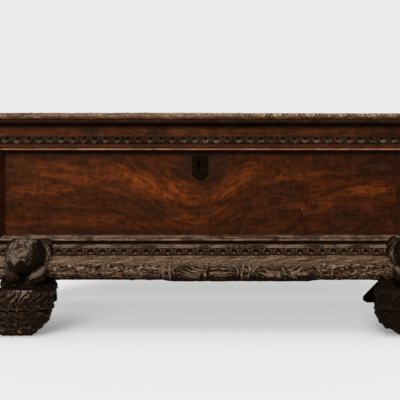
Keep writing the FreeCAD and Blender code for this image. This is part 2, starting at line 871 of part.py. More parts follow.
def lock_plate():
    half = lock_plate_width / 2
    plate = box(field_middle - half, field_middle + half, inner_front, lock_face,
                lock_plate_bottom(), case_top - lock_plate_top_drop)
    whole = fused([plate, bolt_guide(bolt_z), bolt_guide(talon_z)])
    cutters = [keyhole(inner_front - overrun, lock_face + overrun)]
    cutters += [nail_hole(place, Vector(0, -1, 0)) for place in lock_nail_places()]
    return holed(whole, cutters)


def lock_nail_places():
    side = lock_plate_width / 2 - lock_nail_inset
    return [Vector(field_middle + turn * side, lock_face, z)
            for turn in (-1, 1)
            for z in (lock_plate_bottom() + lock_nail_inset, case_top - lock_plate_top_drop - lock_nail_inset)]


def lock_case():
    half = lock_case_width / 2
    wall = lock_case_wall
    bottom = lock_plate_bottom() + lock_case_margin
    top = case_top - lock_case_top_drop
    back = lock_face + lock_case_depth
    shell = box(field_middle - half, field_middle + half, lock_face, back, bottom, top)
    hollow = box(field_middle - half + wall, field_middle + half - wall, lock_face, back - wall,
                 bottom + wall, top - wall)
    slot_half = staple_wire_width / 2 + staple_slot_side_clearance
    slot = box(field_middle - slot_half, field_middle + slot_half, lock_face, back - wall,
               top - wall, top)
    return shell.cut(hollow).cut(slot)


def lock_key_post():
    start = lock_face
    end = lock_face + lock_case_depth - lock_case_wall
    return Part.makeCylinder(key_post_radius, end - start, Vector(keyhole_x, start, keyhole_z),
                             Vector(0, 1, 0))


def lock_spring():
    """A bent leaf against the plate, its free end resting on the talon of the bolt."""
    low = talon_z + bolt_height / 2 + bolt_clearance
    tip_x = field_middle - bolt_guide_setback + bolt_clearance
    far_x = tip_x + spring_run
    sag_x = tip_x + spring_run / 2
    rise = spring_rise * (1 - spring_sag_share) + spring_thickness
    high = low + spring_rise
    steps = [(sag_x, low + rise, far_x, high), (far_x, high + spring_thickness),
             (sag_x, low + rise + spring_thickness, tip_x, low + spring_thickness), (tip_x, low)]
    return along_y(((tip_x, low), steps), lock_face, bolt_y + bolt_thickness / 2)


def lock_bolt():
    tip = field_middle - staple_wire_width / 2 - bolt_setback
    tail = tip - bolt_length
    front = bolt_y - bolt_thickness / 2
    back = bolt_y + bolt_thickness / 2
    half = bolt_height / 2
    bar = box(tail, tip, front, back, bolt_z - half, bolt_z + half)
    arm = box(tail, tail + bolt_arm_width, front, back, talon_z - half, bolt_z + half)
    talon = box(tail, tail + bolt_talon_length, front, back, talon_z - half, talon_z + half)
    return fused([bar, arm, talon])


def staple_tangs(extra=0.0):
    reach = staple_flange_length / 2 - 2 * staple_tang_radius
    return [Part.makeCylinder(staple_tang_radius + extra, staple_tang_length,
                              Vector(field_middle + side * reach, bolt_y, case_top)) for side in (-1, 1)]


def lid_staple():
    half = staple_wire_width / 2
    eye = bolt_thickness / 2 + staple_eye_clearance
    outer = eye + staple_leg_thickness
    eye_bottom = bolt_z - bolt_height / 2 - staple_eye_extra
    eye_top = bolt_z + bolt_height / 2 + staple_eye_extra
    loop = box(field_middle - half, field_middle + half, bolt_y - outer, bolt_y + outer,
               eye_bottom - staple_sill, case_top)
    opening = box(field_middle - overrun, field_middle + overrun, bolt_y - eye, bolt_y + eye,
                  eye_bottom, eye_top)
    flange = box(field_middle - staple_flange_length / 2, field_middle + staple_flange_length / 2,
                 bolt_y - staple_flange_width / 2, bolt_y + staple_flange_width / 2,
                 case_top - staple_flange_thickness, case_top)
    return fused([loop.cut(opening), flange] + staple_tangs())


def all_nodes():
    nodes = {}
    nodes["front_board"] = front_board()
    nodes["back_board"] = back_board()
    nodes["left_side_board"] = side_board(case_left, inner_left)
    nodes["right_side_board"] = side_board(inner_right, case_right)
    for row, name in enumerate(("front", "middle", "rear")):
        nodes["bottom_plank_" + name] = bottom_plank(row)
    runs = {"frieze_board": frieze_boards(), "upper_egg_moulding": upper_egg_mouldings(),
            "lower_egg_moulding": lower_egg_mouldings(), "torus_rail": torus_rails()}
    for name, pieces in runs.items():
        for side, piece in zip(("front", "left", "right"), pieces):
            nodes[side + "_" + name] = piece
    nodes["front_left_stile"] = stile(case_left, panel_left)
    nodes["front_right_stile"] = stile(panel_right, case_right)
    nodes["panel_moulding_top"] = panel_moulding_top()
    nodes["panel_moulding_bottom"] = panel_moulding_bottom()
    nodes["panel_moulding_left"] = panel_moulding_side(field_left, panel_left)
    nodes["panel_moulding_right"] = panel_moulding_side(field_right, panel_right)
    feet = {"left": (left_foot_x, 1, left_paw_inner_reach),
            "right": (right_foot_x, -1, right_paw_inner_reach)}
    for side, (middle, inward, inner_reach) in feet.items():
        nodes["front_" + side + "_foot"] = upper_foot(middle, inward, inner_reach)
        nodes["front_" + side + "_paw_block"] = paw_block(middle, inward, inner_reach)
    nodes["rear_left_foot"] = rear_foot(-1, left_rear_waist_width, left_rear_toe_width)
    nodes["rear_right_foot"] = rear_foot(1, right_rear_waist_width, right_rear_toe_width)
    nodes["back_base_rail"] = back_base_rail()
    nodes["foot_dowels"] = Part.makeCompound([dowel(place) for place in dowel_places()])
    nodes["lid_front_plank"], nodes["lid_rear_plank"] = lid_planks()
    for side, piece in zip(("front", "left", "right"), lid_nosings()):
        nodes["lid_" + side + "_nosing"] = piece
    nodes["lid_left_batten"] = batten(-1)
    nodes["lid_right_batten"] = batten(1)
    nodes["batten_nails"] = Part.makeCompound([batten_nail(place) for place in batten_nail_places()])
    for side, name in ((-1, "left"), (1, "right")):
        nodes[name + "_hinge_body_leaf"] = body_leaf(side * hinge_spacing / 2)
        nodes[name + "_hinge_lid_leaf"] = lid_leaf(side * hinge_spacing / 2)
    nodes["hinge_pins"] = Part.makeCompound([hinge_pin(side * hinge_spacing / 2) for side in (-1, 1)])
    nodes["hinge_body_nails"] = Part.makeCompound(
        [nail(place, Vector(0, -1, 0)) for place in hinge_body_nail_places()])
    nodes["hinge_lid_nails"] = Part.makeCompound(
        [nail(place, Vector(0, 0, 1)) for place in hinge_lid_nail_places()])
    nodes["escutcheon"] = escutcheon()
    nodes["escutcheon_nails"] = Part.makeCompound(
        [nail(place, Vector(0, 1, 0), small_nail_share) for place in escutcheon_nail_places()])
    nodes["lock_plate"] = lock_plate()
    nodes["lock_case"] = lock_case()
    nodes["lock_key_post"] = lock_key_post()
    nodes["lock_spring"] = lock_spring()
    nodes["lock_nails"] = Part.makeCompound([nail(place, Vector(0, -1, 0)) for place in lock_nail_places()])
    nodes["lid_staple"] = lid_staple()
    nodes["lock_bolt"] = lock_bolt()
    return nodes


os.makedirs("parts", exist_ok=True)
for node, shape in all_nodes().items():
    shape.exportStep("parts/" + node + ".step")
    print(node, len(shape.Solids), "solids", round(shape.Volume), "mm3")
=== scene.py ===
import bpy
import json
import math
import numpy as np
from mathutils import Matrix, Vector

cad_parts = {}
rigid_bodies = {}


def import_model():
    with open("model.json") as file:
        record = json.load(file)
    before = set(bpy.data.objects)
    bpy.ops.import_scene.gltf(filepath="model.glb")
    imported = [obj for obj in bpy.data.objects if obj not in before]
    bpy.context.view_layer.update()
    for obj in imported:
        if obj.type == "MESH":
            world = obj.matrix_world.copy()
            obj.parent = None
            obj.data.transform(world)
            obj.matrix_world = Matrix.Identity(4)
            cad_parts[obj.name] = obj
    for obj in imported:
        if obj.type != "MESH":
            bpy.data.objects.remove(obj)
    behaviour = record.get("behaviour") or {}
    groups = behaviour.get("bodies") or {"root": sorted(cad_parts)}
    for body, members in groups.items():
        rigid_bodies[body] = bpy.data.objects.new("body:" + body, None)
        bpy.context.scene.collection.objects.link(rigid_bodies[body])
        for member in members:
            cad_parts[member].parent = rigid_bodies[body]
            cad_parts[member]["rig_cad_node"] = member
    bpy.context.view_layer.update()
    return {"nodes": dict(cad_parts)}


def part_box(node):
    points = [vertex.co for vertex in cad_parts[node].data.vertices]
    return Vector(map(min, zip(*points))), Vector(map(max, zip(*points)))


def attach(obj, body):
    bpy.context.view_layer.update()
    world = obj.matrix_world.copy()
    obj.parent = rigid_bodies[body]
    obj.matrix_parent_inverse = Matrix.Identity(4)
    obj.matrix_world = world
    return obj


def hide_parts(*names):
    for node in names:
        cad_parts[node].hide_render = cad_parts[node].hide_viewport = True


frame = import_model()

# Front board
# One wide walnut plank behind all the mouldings; its middle is the sunk field of the front.
# Planed by hand, oiled and waxed; dovetailed to the sides and rebated for the bottom planks.
case_left, case_front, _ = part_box("front_board")[0]
case_right, _, case_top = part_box("front_board")[1]
case_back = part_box("back_board")[1].y


def tone(screen):
    """A colour from its red, green and blue screen values, 0 to 255."""
    linear = [((value / 255 + 0.055) / 1.055) ** 2.4 for value in screen]
    return (*linear, 1.0)


def linked(tree, value, socket):
    """Feeds a socket from another node, or sets it to a plain value."""
    if isinstance(value, bpy.types.NodeSocket):
        tree.links.new(value, socket)
    else:
        socket.default_value = value


def fed(tree, made, **inputs):
    """Feeds the named inputs of a node."""
    for name, value in inputs.items():
        linked(tree, value, made.inputs[name.replace("_", " ")])
    return made


def shader_node(tree, kind, settings=(), **inputs):
    """Adds a node with its settings, and feeds its inputs."""
    made = tree.nodes.new("ShaderNode" + kind)
    for name, value in dict(settings).items():
        setattr(made, name, value)
    return fed(tree, made, **inputs)


def in_order(tree, made, values):
    """Feeds a node's inputs one after another, and gives its outputs."""
    for value, socket in zip(values, made.inputs):
        linked(tree, value, socket)
    return made.outputs


def worked(tree, operation, *values):
    """The result of a Math node."""
    return in_order(tree, shader_node(tree, "Math", {"operation": operation}), values)[0]


def times(tree, first, second):
    """The product of two values."""
    return worked(tree, "MULTIPLY", first, second)


def eased(tree, value, low, high, start=0.0, end=1.0):
    """A value brought smoothly from one range to another."""
    made = shader_node(tree, "MapRange", {"interpolation_type": "SMOOTHSTEP"}, Value=value, From_Min=low,
                       From_Max=high, To_Min=start, To_Max=end)
    return made.outputs[0]


def blended(tree, amount, under, over, kind="MIX"):
    """One colour laid over another."""
    made = shader_node(tree, "Mix", {"data_type": "RGBA", "blend_type": kind})
    for value, socket in ((amount, made.inputs[0]), (under, made.inputs[6]), (over, made.inputs[7])):
        linked(tree, value, socket)
    return made.outputs[2]


def vector_work(tree, operation, *values):
    """The result of a Vector Math node."""
    outputs = in_order(tree, shader_node(tree, "VectorMath", {"operation": operation}), values)
    return outputs["Value" if operation in ("LENGTH", "DOT_PRODUCT") else "Vector"]


def noise(tree, place, scale, detail=3.0, roughness=0.55, distortion=0.0):
    """Noise over a place whose axes are stretched by the scale."""
    spot = vector_work(tree, "MULTIPLY", place, scale)
    made = shader_node(tree, "TexNoise", Vector=spot, Scale=1.0, Detail=detail, Roughness=roughness,
                       Distortion=distortion)
    return made.outputs[0]


def from_group(tree, group, **inputs):
    """The outputs of a node group placed in a tree."""
    return shader_node(tree, "Group", {"node_tree": group}, **inputs).outputs


def new_group(name, inputs, outputs):
    """A shader node group, with the sockets of its input and output nodes."""
    group = bpy.data.node_groups.new(name, "ShaderNodeTree")
    for side, sockets in (("INPUT", inputs), ("OUTPUT", outputs)):
        for label, kind in sockets.items():
            group.interface.new_socket(label, in_out=side, socket_type="NodeSocket" + kind)
    return group, group.nodes.new("NodeGroupInput").outputs, group.nodes.new("NodeGroupOutput").inputs


def new_material(name):
    """A material and its node tree."""
    material = bpy.data.materials.new(name)
    material.use_nodes = True
    return material, material.node_tree


def timber_group():
    """Grain along X: broad figure, cloudy flame, fine fibre, dark pores and worm specks."""
    outputs = dict.fromkeys(("Figure", "Flame", "Fibre", "Pores", "Specks"), "Float")
    group, given, result = new_group("timber", {"Place": "Vector"}, outputs)
    straight = given["Place"]
    wander = noise(group, straight, (1.6, 5.0, 5.0), 2.0)
    drift = shader_node(group, "CombineXYZ", X=0.0, Y=wander, Z=wander).outputs[0]
    place = vector_work(group, "ADD", straight, vector_work(group, "MULTIPLY", drift, (0.0, 0.05, 0.09)))
    linked(group, noise(group, place, (1.5, 18.0, 18.0), 5.0, 0.6, 0.6), result["Figure"])
    clouds = times(group, noise(group, place, (20.0, 70.0, 70.0), 6.0, 0.70, 0.7), 0.72)
    ribbons = times(group, noise(group, straight, (80.0, 34.0, 26.0), 4.0, 0.65, 0.3), 0.28)
    linked(group, worked(group, "ADD", clouds, ribbons), result["Flame"])
    linked(group, noise(group, place, (9.0, 420.0, 420.0)), result["Fibre"])
    pores = noise(group, place, (55.0, 1500.0, 1500.0), 2.0)
    linked(group, eased(group, pores, 0.60, 0.72), result["Pores"])
    dots = eased(group, noise(group, straight, (150.0, 220.0, 220.0), 1.0), 0.57, 0.66)
    flock = eased(group, noise(group, straight, (6.0, 9.0, 9.0), 2.0), 0.42, 0.58)
    linked(group, times(group, dots, flock), result["Specks"])
    return group


def patch_group():
    """A soft ragged patch about a centre, for figure, stains and fading, and for painted shade and
    highlight.
    """
    inputs = {"Place": "Vector", "Centre": "Vector", "Reach": "Vector", "Lean": "Float"}
    group, given, result = new_group("patch", inputs, {"Mask": "Float"})
    away = vector_work(group, "SUBTRACT", given["Place"], given["Centre"])
    level = shader_node(group, "VectorRotate", {"rotation_type": "Y_AXIS"}, Vector=away, Angle=given["Lean"])
    share = vector_work(group, "LENGTH", vector_work(group, "DIVIDE", level.outputs[0], given["Reach"]))
    ragged = times(group, noise(group, given["Place"], (18.0, 18.0, 46.0), 5.0, 0.62), 1.3)
    linked(group, eased(group, worked(group, "ADD", share, ragged), 0.85, 1.85, 1.0, 0.0), result["Mask"])
    return group


def inside_group():
    """The faces towards the hollow of the chest, which were never stained or waxed."""
    group, given, result = new_group("inside", {"Place": "Vector"}, {"Mask": "Float"})
    wall = 0.019
    rim = 0.004
    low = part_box("bottom_plank_front")[1].z
    spans = ((case_left, case_right, -wall), (case_front, case_back, -wall), (low, case_top, rim))
    middle = [(start + end) / 2 for start, end, _ in spans]
    half = [(end - start) / 2 + more for start, end, more in spans]
    away = vector_work(group, "ABSOLUTE", vector_work(group, "SUBTRACT", given["Place"], middle))
    share = shader_node(group, "SeparateXYZ", Vector=vector_work(group, "DIVIDE", away, half)).outputs
    most = worked(group, "MAXIMUM", worked(group, "MAXIMUM", share[0], share[1]), share[2])
    linked(group, worked(group, "LESS_THAN", most, 1.0), result["Mask"])
    return group


def rubbed_group():
    """Arrises that hands and cloths have rubbed pale, in broken stretches."""
    inputs = {"Place": "Vector", "Reach": "Float"}
    group, given, result = new_group("rubbed edges", inputs, {"Mask": "Float"})
    turned = shader_node(group, "Bevel", {"samples": 4}, Radius=given["Reach"]).outputs[0]
    true = shader_node(group, "NewGeometry").outputs["True Normal"]
    alike = vector_work(group, "DOT_PRODUCT", turned, true)
    edge = eased(group, worked(group, "SUBTRACT", 1.0, alike), 0.01, 0.16)
    broken = eased(group, noise(group, given["Place"], (30.0, 30.0, 30.0), 4.0), 0.36, 0.60)
    linked(group, times(group, edge, broken), result["Mask"])
    return group


def hollow_group():
    """Carving: crests that wear pale, and hollows that hold old wax and dirt. Sharp convex edges are made
    paler still as painted highlight, and hollows that light hardly reaches darker still as painted shade.
    Worn is 0 in the deepest cut, a half on plain wood and 1 on a rubbed crest; in places it also holds
    painted light and shade."""
    inputs = {"Worn": "Float", "Depth": "Float"}
    group, given, result = new_group("carved hollows", inputs, {"Crest": "Float", "Hollow": "Float"})
    worn = given["Worn"]
    point = shader_node(group, "NewGeometry").outputs["Pointiness"]
    # Pointiness makes sharp convex edges paler, as painted highlight.
    ridge = times(group, eased(group, point, 0.52, 0.62), 0.5)
    linked(group, worked(group, "MAXIMUM", eased(group, worn, 0.52, 0.98), ridge), result["Crest"])
    # Ambient occlusion darkens the hollows, as painted shade.
    open_sky = shader_node(group, "AmbientOcclusion", {"samples": 8}, Distance=given["Depth"]).outputs["AO"]
    cut = times(group, eased(group, point, 0.49, 0.42), 0.6)
    deep = worked(group, "MAXIMUM", eased(group, open_sky, 0.75, 0.30), eased(group, worn, 0.44, 0.06))
    linked(group, worked(group, "MAXIMUM", cut, deep), result["Hollow"])
    return group


timber = timber_group()
patch = patch_group()
inside = inside_group()
rubbed = rubbed_group()
hollows = hollow_group()
bare_walnut = tone((104, 74, 50))
pale_walnut = tone((132, 98, 68))
warm_gloss = tone((255, 190, 140))
rubbed_reach = 0.003


def walnut(name, dark, body, light, turn=(0.0, 0.0, 0.0), bends=(), patches=(), rough=0.5, edge=None,
           crest=None, grime_and_shade=None, depth=0.012, pore_share=0.5, flame=0.15, speck_share=0.0, gloss=0.10):
    """A walnut finish whose grain runs along X unless it is turned, and climbs where it bends: each bend has
    its ends along X and its climb. A patch is its place along X and up, its reach both ways, its lean in
    degrees, its colour and its strength; some patches are painted shade and some painted highlight. Edge is
    the colour of rubbed arrises; crest and grime, which only carved pieces have, are those of worn crests,
    partly painted highlight, and of hollows darkened by dirt and by painted shade."""
    material, tree = new_material(name)
    place = shader_node(tree, "TexCoord").outputs["Object"]
    along = shader_node(tree, "SeparateXYZ", Vector=place).outputs[0]
    laid = place
    for first, last, climb in bends:
        drop = shader_node(tree, "CombineXYZ", Z=eased(tree, along, first, last, 0.0, -climb)).outputs[0]
        laid = vector_work(tree, "ADD", laid, drop)
    laid = shader_node(tree, "Mapping", Vector=laid, Rotation=turn).outputs[0]
    grain = from_group(tree, timber, Place=laid)
    figure, fibre = grain["Figure"], grain["Fibre"]
    colour = blended(tree, eased(tree, figure, 0.34, 0.50), tone(dark), tone(body))
    colour = blended(tree, eased(tree, figure, 0.50, 0.70), colour, tone(light))
    for x, z, wide, tall, lean, tint, strength in patches:
        mask = from_group(tree, patch, Place=place, Centre=(x, case_front, z), Reach=(wide, 1.0, tall),
                          Lean=math.radians(lean))[0]
        colour = blended(tree, times(tree, mask, strength), colour, tone(tint))
    clouds = eased(tree, grain["Flame"], 0.40, 0.60, 1.0 - flame, 1.0 + flame)
    shade = times(tree, eased(tree, fibre, 0.3, 0.7, 0.84, 1.14), clouds)
    streak = shader_node(tree, "CombineXYZ", X=shade, Y=shade, Z=shade).outputs[0]
    colour = blended(tree, 1.0, colour, streak, "MULTIPLY")
    roughness = eased(tree, fibre, 0.2, 0.8, rough - 0.08, rough + 0.10)
    if not grime_and_shade:
        mask = from_group(tree, inside, Place=place)[0]
        open_wood = blended(tree, eased(tree, figure, 0.3, 0.7), bare_walnut, pale_walnut)
        colour = blended(tree, mask, colour, blended(tree, 1.0, open_wood, streak, "MULTIPLY"))
        roughness = worked(tree, "ADD", roughness, times(tree, mask, 0.25))
    if edge:
        mask = from_group(tree, rubbed, Place=place, Reach=rubbed_reach)[0]
        colour = blended(tree, times(tree, mask, 0.75), colour, tone(edge))
    # Carved pieces: the crest colour is partly painted highlight, and the grime colour darkens hollows as
    # dirt and as painted shade.
    if grime_and_shade:
        worn = shader_node(tree, "Attribute", {"attribute_name": "worn"}).outputs["Fac"]
        masks = from_group(tree, hollows, Worn=worn, Depth=depth)
        colour = blended(tree, times(tree, masks["Crest"], 0.9), colour, tone(crest))
        colour = blended(tree, times(tree, masks["Hollow"], 0.96), colour, tone(grime_and_shade))
        roughness = worked(tree, "ADD", roughness, times(tree, masks["Hollow"], 0.25))
    pores = times(tree, grain["Pores"], pore_share)
    specks = times(tree, grain["Specks"], speck_share)
    colour = blended(tree, worked(tree, "MAXIMUM", pores, specks), colour, tone(dark))
    dents = times(tree, noise(tree, place, (60.0, 60.0, 60.0), 4.0), 0.8)
    height = worked(tree, "ADD", times(tree, fibre, 0.35), dents)
    height = worked(tree, "SUBTRACT", height, times(tree, grain["Pores"], 0.3))
    bumps = shader_node(tree, "Bump", Strength=0.4, Distance=0.0012, Height=height).outputs[0]
    fed(tree, tree.nodes["Principled BSDF"], Base_Color=colour, Roughness=roughness, Normal=bumps,
        Specular_IOR_Level=gloss, Specular_Tint=warm_gloss)
    return material


def finished(piece, material):
    """Gives a piece its one material."""
    piece.data.materials.clear()
    piece.data.materials.append(material)


fire_brown = (120, 54, 17)
deep_brown = (36, 16, 8)
ash_black = (20, 12, 8)
panel_walnut = walnut(
    "panel_walnut", (38, 14, 4), (55, 21, 5), (69, 29, 8), rough=0.42, flame=0.62, speck_share=0.8,
    bends=((-0.300, -0.030, -0.090), (0.000, 0.130, 0.056), (0.130, 0.560, 0.040)),
    patches=(
        (-0.183, 0.420, 0.150, 0.036, -24.0, fire_brown, 0.52),
        (-0.088, 0.404, 0.075, 0.036, -22.0, fire_brown, 0.50),
        (0.010, 0.378, 0.090, 0.018, 4.0, fire_brown, 0.26),
        (0.100, 0.430, 0.080, 0.028, 32.0, fire_brown, 0.30),
        (0.062, 0.408, 0.045, 0.034, 20.0, fire_brown, 0.30),
        (-0.360, 0.440, 0.200, 0.040, -6.0, fire_brown, 0.30),
        (-0.480, 0.400, 0.120, 0.022, 4.0, fire_brown, 0.35),
        (0.471, 0.402, 0.110, 0.014, 3.0, fire_brown, 0.45),
        (0.300, 0.352, 0.075, 0.020, 5.0, fire_brown, 0.38),
        (0.250, 0.440, 0.110, 0.014, 8.0, fire_brown, 0.30),
        (-0.191, 0.352, 0.120, 0.036, -12.0, deep_brown, 0.55),
        (0.190, 0.345, 0.130, 0.075, 0.0, deep_brown, 0.55),
        (0.220, 0.400, 0.070, 0.030, 0.0, deep_brown, 0.50),
        (0.440, 0.312, 0.220, 0.060, 0.0, deep_brown, 0.75),
        (-0.400, 0.286, 0.160, 0.018, 0.0, deep_brown, 0.55),
        (-0.466, 0.302, 0.060, 0.012, 0.0, deep_brown, 0.60),
        (-0.340, 0.312, 0.090, 0.016, 5.0, fire_brown, 0.22),
        (-0.051, 0.318, 0.070, 0.016, 0.0, fire_brown, 0.26),
        (0.070, 0.300, 0.050, 0.012, 0.0, deep_brown, 0.55),
        (0.380, 0.480, 0.260, 0.040, 0.0, deep_brown, 0.55),
        # Painted shade: the dark strips along both ends of the field and its dark top right corner, and
        # below, the long dark bands along its foot and under its top moulding.
        (-0.600, 0.400, 0.040, 0.190, 0.0, ash_black, 0.65),
        (0.552, 0.400, 0.024, 0.190, 0.0, ash_black, 0.60),
        (0.520, 0.480, 0.110, 0.060, 0.0, ash_black, 0.60),
        (-0.020, 0.470, 0.090, 0.075, 0.0, ash_black, 0.85),
        (-0.023, 0.389, 0.005, 0.005, 0.0, ash_black, 0.90),
        (0.269, 0.346, 0.002, 0.004, 0.0, (150, 120, 92), 0.80),
        (0.000, 0.278, 0.700, 0.014, 0.0, ash_black, 0.60),
        (0.000, 0.506, 0.700, 0.012, 0.0, ash_black, 0.70),
    ),
)
finished(frame["nodes"]["front_board"], panel_walnut)

# Sides, back and bottom
# Plainer walnut boards: the sides are dovetailed to the front and back, and the three bottom planks
# drop into a rebate cut round the inside of all four.
case_walnut = walnut("case_walnut", (36, 17, 7), (56, 28, 12), (74, 38, 17), rough=0.68, edge=(92, 56, 32),
                     flame=0.42, speck_share=0.5)
plain_wood = walnut("plain_wood", (64, 47, 33), (92, 69, 48), (112, 86, 60), rough=0.72,
                    edge=(130, 104, 76), pore_share=0.35)
merge_distance = 0.00002
board_arris = 0.0012
plank_arris = 0.001


def taken_up(node, prefix):
    """A copy of a CAD piece, with its doubles merged and all of it selected in edit mode."""
    bpy.ops.object.select_all(action="DESELECT")
    source = frame["nodes"][node]
    source.select_set(True)
    bpy.context.view_layer.objects.active = source
    bpy.ops.object.duplicate()
    piece = bpy.context.object
    piece.name = prefix + node
    del piece["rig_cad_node"]
    bpy.ops.object.mode_set(mode="EDIT")
    bpy.ops.mesh.select_all(action="SELECT")
    bpy.ops.mesh.remove_doubles(threshold=merge_distance)
    return piece


def put_in_place(piece, node, material, body):
    """Finishes a piece that stands for a CAD piece, gives it its body, and hides the CAD piece."""
    finished(piece, material)
    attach(piece, body)
    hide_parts(node)


def softened(node, round_over, material, body="chest"):
    """A CAD piece with its arrises worn round."""
    piece = taken_up(node, "worn_")
    bpy.ops.mesh.dissolve_limited(angle_limit=math.radians(1))
    bpy.ops.mesh.normals_make_consistent(inside=False)
    bpy.ops.object.mode_set(mode="OBJECT")
    bevel = piece.modifiers.new("worn arris", "BEVEL")
    bevel.width = round_over
    bevel.segments = 2
    bevel.limit_method = "ANGLE"
    bevel.angle_limit = math.radians(30)
    bpy.ops.object.modifier_apply(modifier=bevel.name)
    bpy.ops.object.shade_smooth_by_angle(angle=math.radians(35))
    put_in_place(piece, node, material, body)


for node in ("left_side_board", "right_side_board"):
    softened(node, board_arris, case_walnut)
softened("back_board", board_arris, plain_wood)
for row in ("front", "middle", "rear"):
    softened("bottom_plank_" + row, plank_arris, plain_wood)

# Stiles and panel mouldings
# Plain strips close the face at both ends, and a bevelled frame, mitred at its corners, is nailed
# round the sunk field. Its lower ledge and its beads are rubbed pale, and painted paler still on their
# upper faces as highlight; dark lines in the ledge's creases are painted shade.
bead_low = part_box("panel_moulding_top")[0].z
ledge_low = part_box("panel_moulding_bottom")[0].z
whole_run = 2.0
frame_arris = 0.0008
moulding_walnut = walnut(
    "moulding_walnut", (30, 13, 5), (49, 22, 10), (64, 34, 19), edge=(78, 47, 31), flame=0.34,
    patches=(
        # A painted highlight along the top of the bead.
        (0.0, bead_low + 0.0040, whole_run, 0.0022, 0.0, (164, 114, 86), 0.90),
        (0.0, bead_low + 0.0145, whole_run, 0.0040, 0.0, (60, 28, 14), 0.55),
        (-0.60, 0.390, 0.030, 0.150, 0.0, (50, 18, 5), 0.70),
    ),
)
# The ledge's pale tones are rubbed wear and partly painted highlight on its upward faces.
ledge_walnut = walnut(
    "ledge_walnut", (50, 31, 19), (92, 73, 59), (118, 97, 81), edge=(120, 94, 74), flame=0.62,
    patches=(
        # A painted highlight along the ledge's nosing, and painted shade in the crease above it.
        (0.0, ledge_low + 0.0018, whole_run, 0.0038, 0.0, (128, 97, 77), 0.88),
        (0.0, ledge_low + 0.0062, whole_run, 0.0016, 0.0, ash_black, 0.85),
        (-0.334, ledge_low + 0.004, 0.016, 0.012, 0.0, ash_black, 0.85),
        (-0.035, ledge_low + 0.002, 0.060, 0.005, 0.0, deep_brown, 0.80),
        (0.190, ledge_low + 0.004, 0.016, 0.012, 0.0, ash_black, 0.85),
        # Painted shade in the crease where the ledge meets the field.
        (0.0, ledge_low + 0.0165, whole_run, 0.0022, 0.0, (44, 14, 6), 0.80),
    ),
)
for node in ("front_left_stile", "front_right_stile"):
    softened(node, plank_arris, case_walnut)
for side in ("top", "left", "right"):
    softened("panel_moulding_" + side, frame_arris, moulding_walnut)
softened("panel_moulding_bottom", frame_arris, ledge_walnut)

# Frieze boards
# Thin walnut boards planted on under the lid, mitred at the front corners and worn along their
# top edge. Old stains darken the front one, and a painted shadow of the lid's overhang darkens its top.


def corners(piece):
    """The points of a mesh as rows of x, y, z."""
    flat = np.empty(len(piece.data.vertices) * 3)
    piece.data.vertices.foreach_get("co", flat)
    return flat.reshape(-1, 3)


def carved(piece, points, worn):
    """Moves the points of a mesh, and keeps how worn each point is for the finish to read."""
    piece.data.vertices.foreach_set("co", np.asarray(points, float).ravel())
    piece.data.update()
    marks = piece.data.attributes.new("worn", "FLOAT", "POINT")
    marks.data.foreach_set("value", np.clip(worn, 0, 1))


def ripple(points, size, seed):
    """Smooth unevenness between -1 and 1, about size metres from crest to crest."""
    draw = np.random.default_rng(seed)
    total = np.zeros(len(points))
    for _ in range(14):
        way = draw.normal(size=3)
        way *= 2 * math.pi / (size * draw.uniform(0.6, 1.7) * np.linalg.norm(way))
        total += np.sin(points @ way + draw.uniform(0, 2 * math.pi))
    return total / 4.8


def rising(value, start, run, least=0):
    """Climbs to 1 over a run that begins at the start."""
    return np.clip((value - start) / run, least, 1)


def falling(value, end, run, least=0):
    """Sinks from 1 over a run that finishes at the end."""
    return np.clip((end - value) / run, least, 1)


hidden_reach = 0.001


def planed(points, pitch):
    """A closed section with points added so that its shown stretches have none longer than pitch."""
    dense = []
    for here, there in zip(points, points[1:] + points[:1]):
        shown = max(here[0], there[0]) > hidden_reach
        count = max(1, math.ceil(math.dist(here, there) / pitch)) if shown else 1
        for share in (step / count for step in range(count)):
            dense.append([start + (end - start) * share for start, end in zip(here, there)])
    return dense


def swell(start, middle, end, count):
    """Points of a rounded face from start by way of middle, without its end."""
    points = []
    for t in (step / count for step in range(count)):
        shares = ((1 - t) * (1 - 2 * t), 4 * t * (1 - t), t * (2 * t - 1))
        points.append([shares[0] * a + shares[1] * b + shares[2] * c for a, b, c in zip(start, middle, end)])
    return points


def heights(node):
    """The bottom and the top of a CAD piece."""
    return [corner.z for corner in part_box(node)]


case_faces = (case_left, case_front, case_right, case_back)


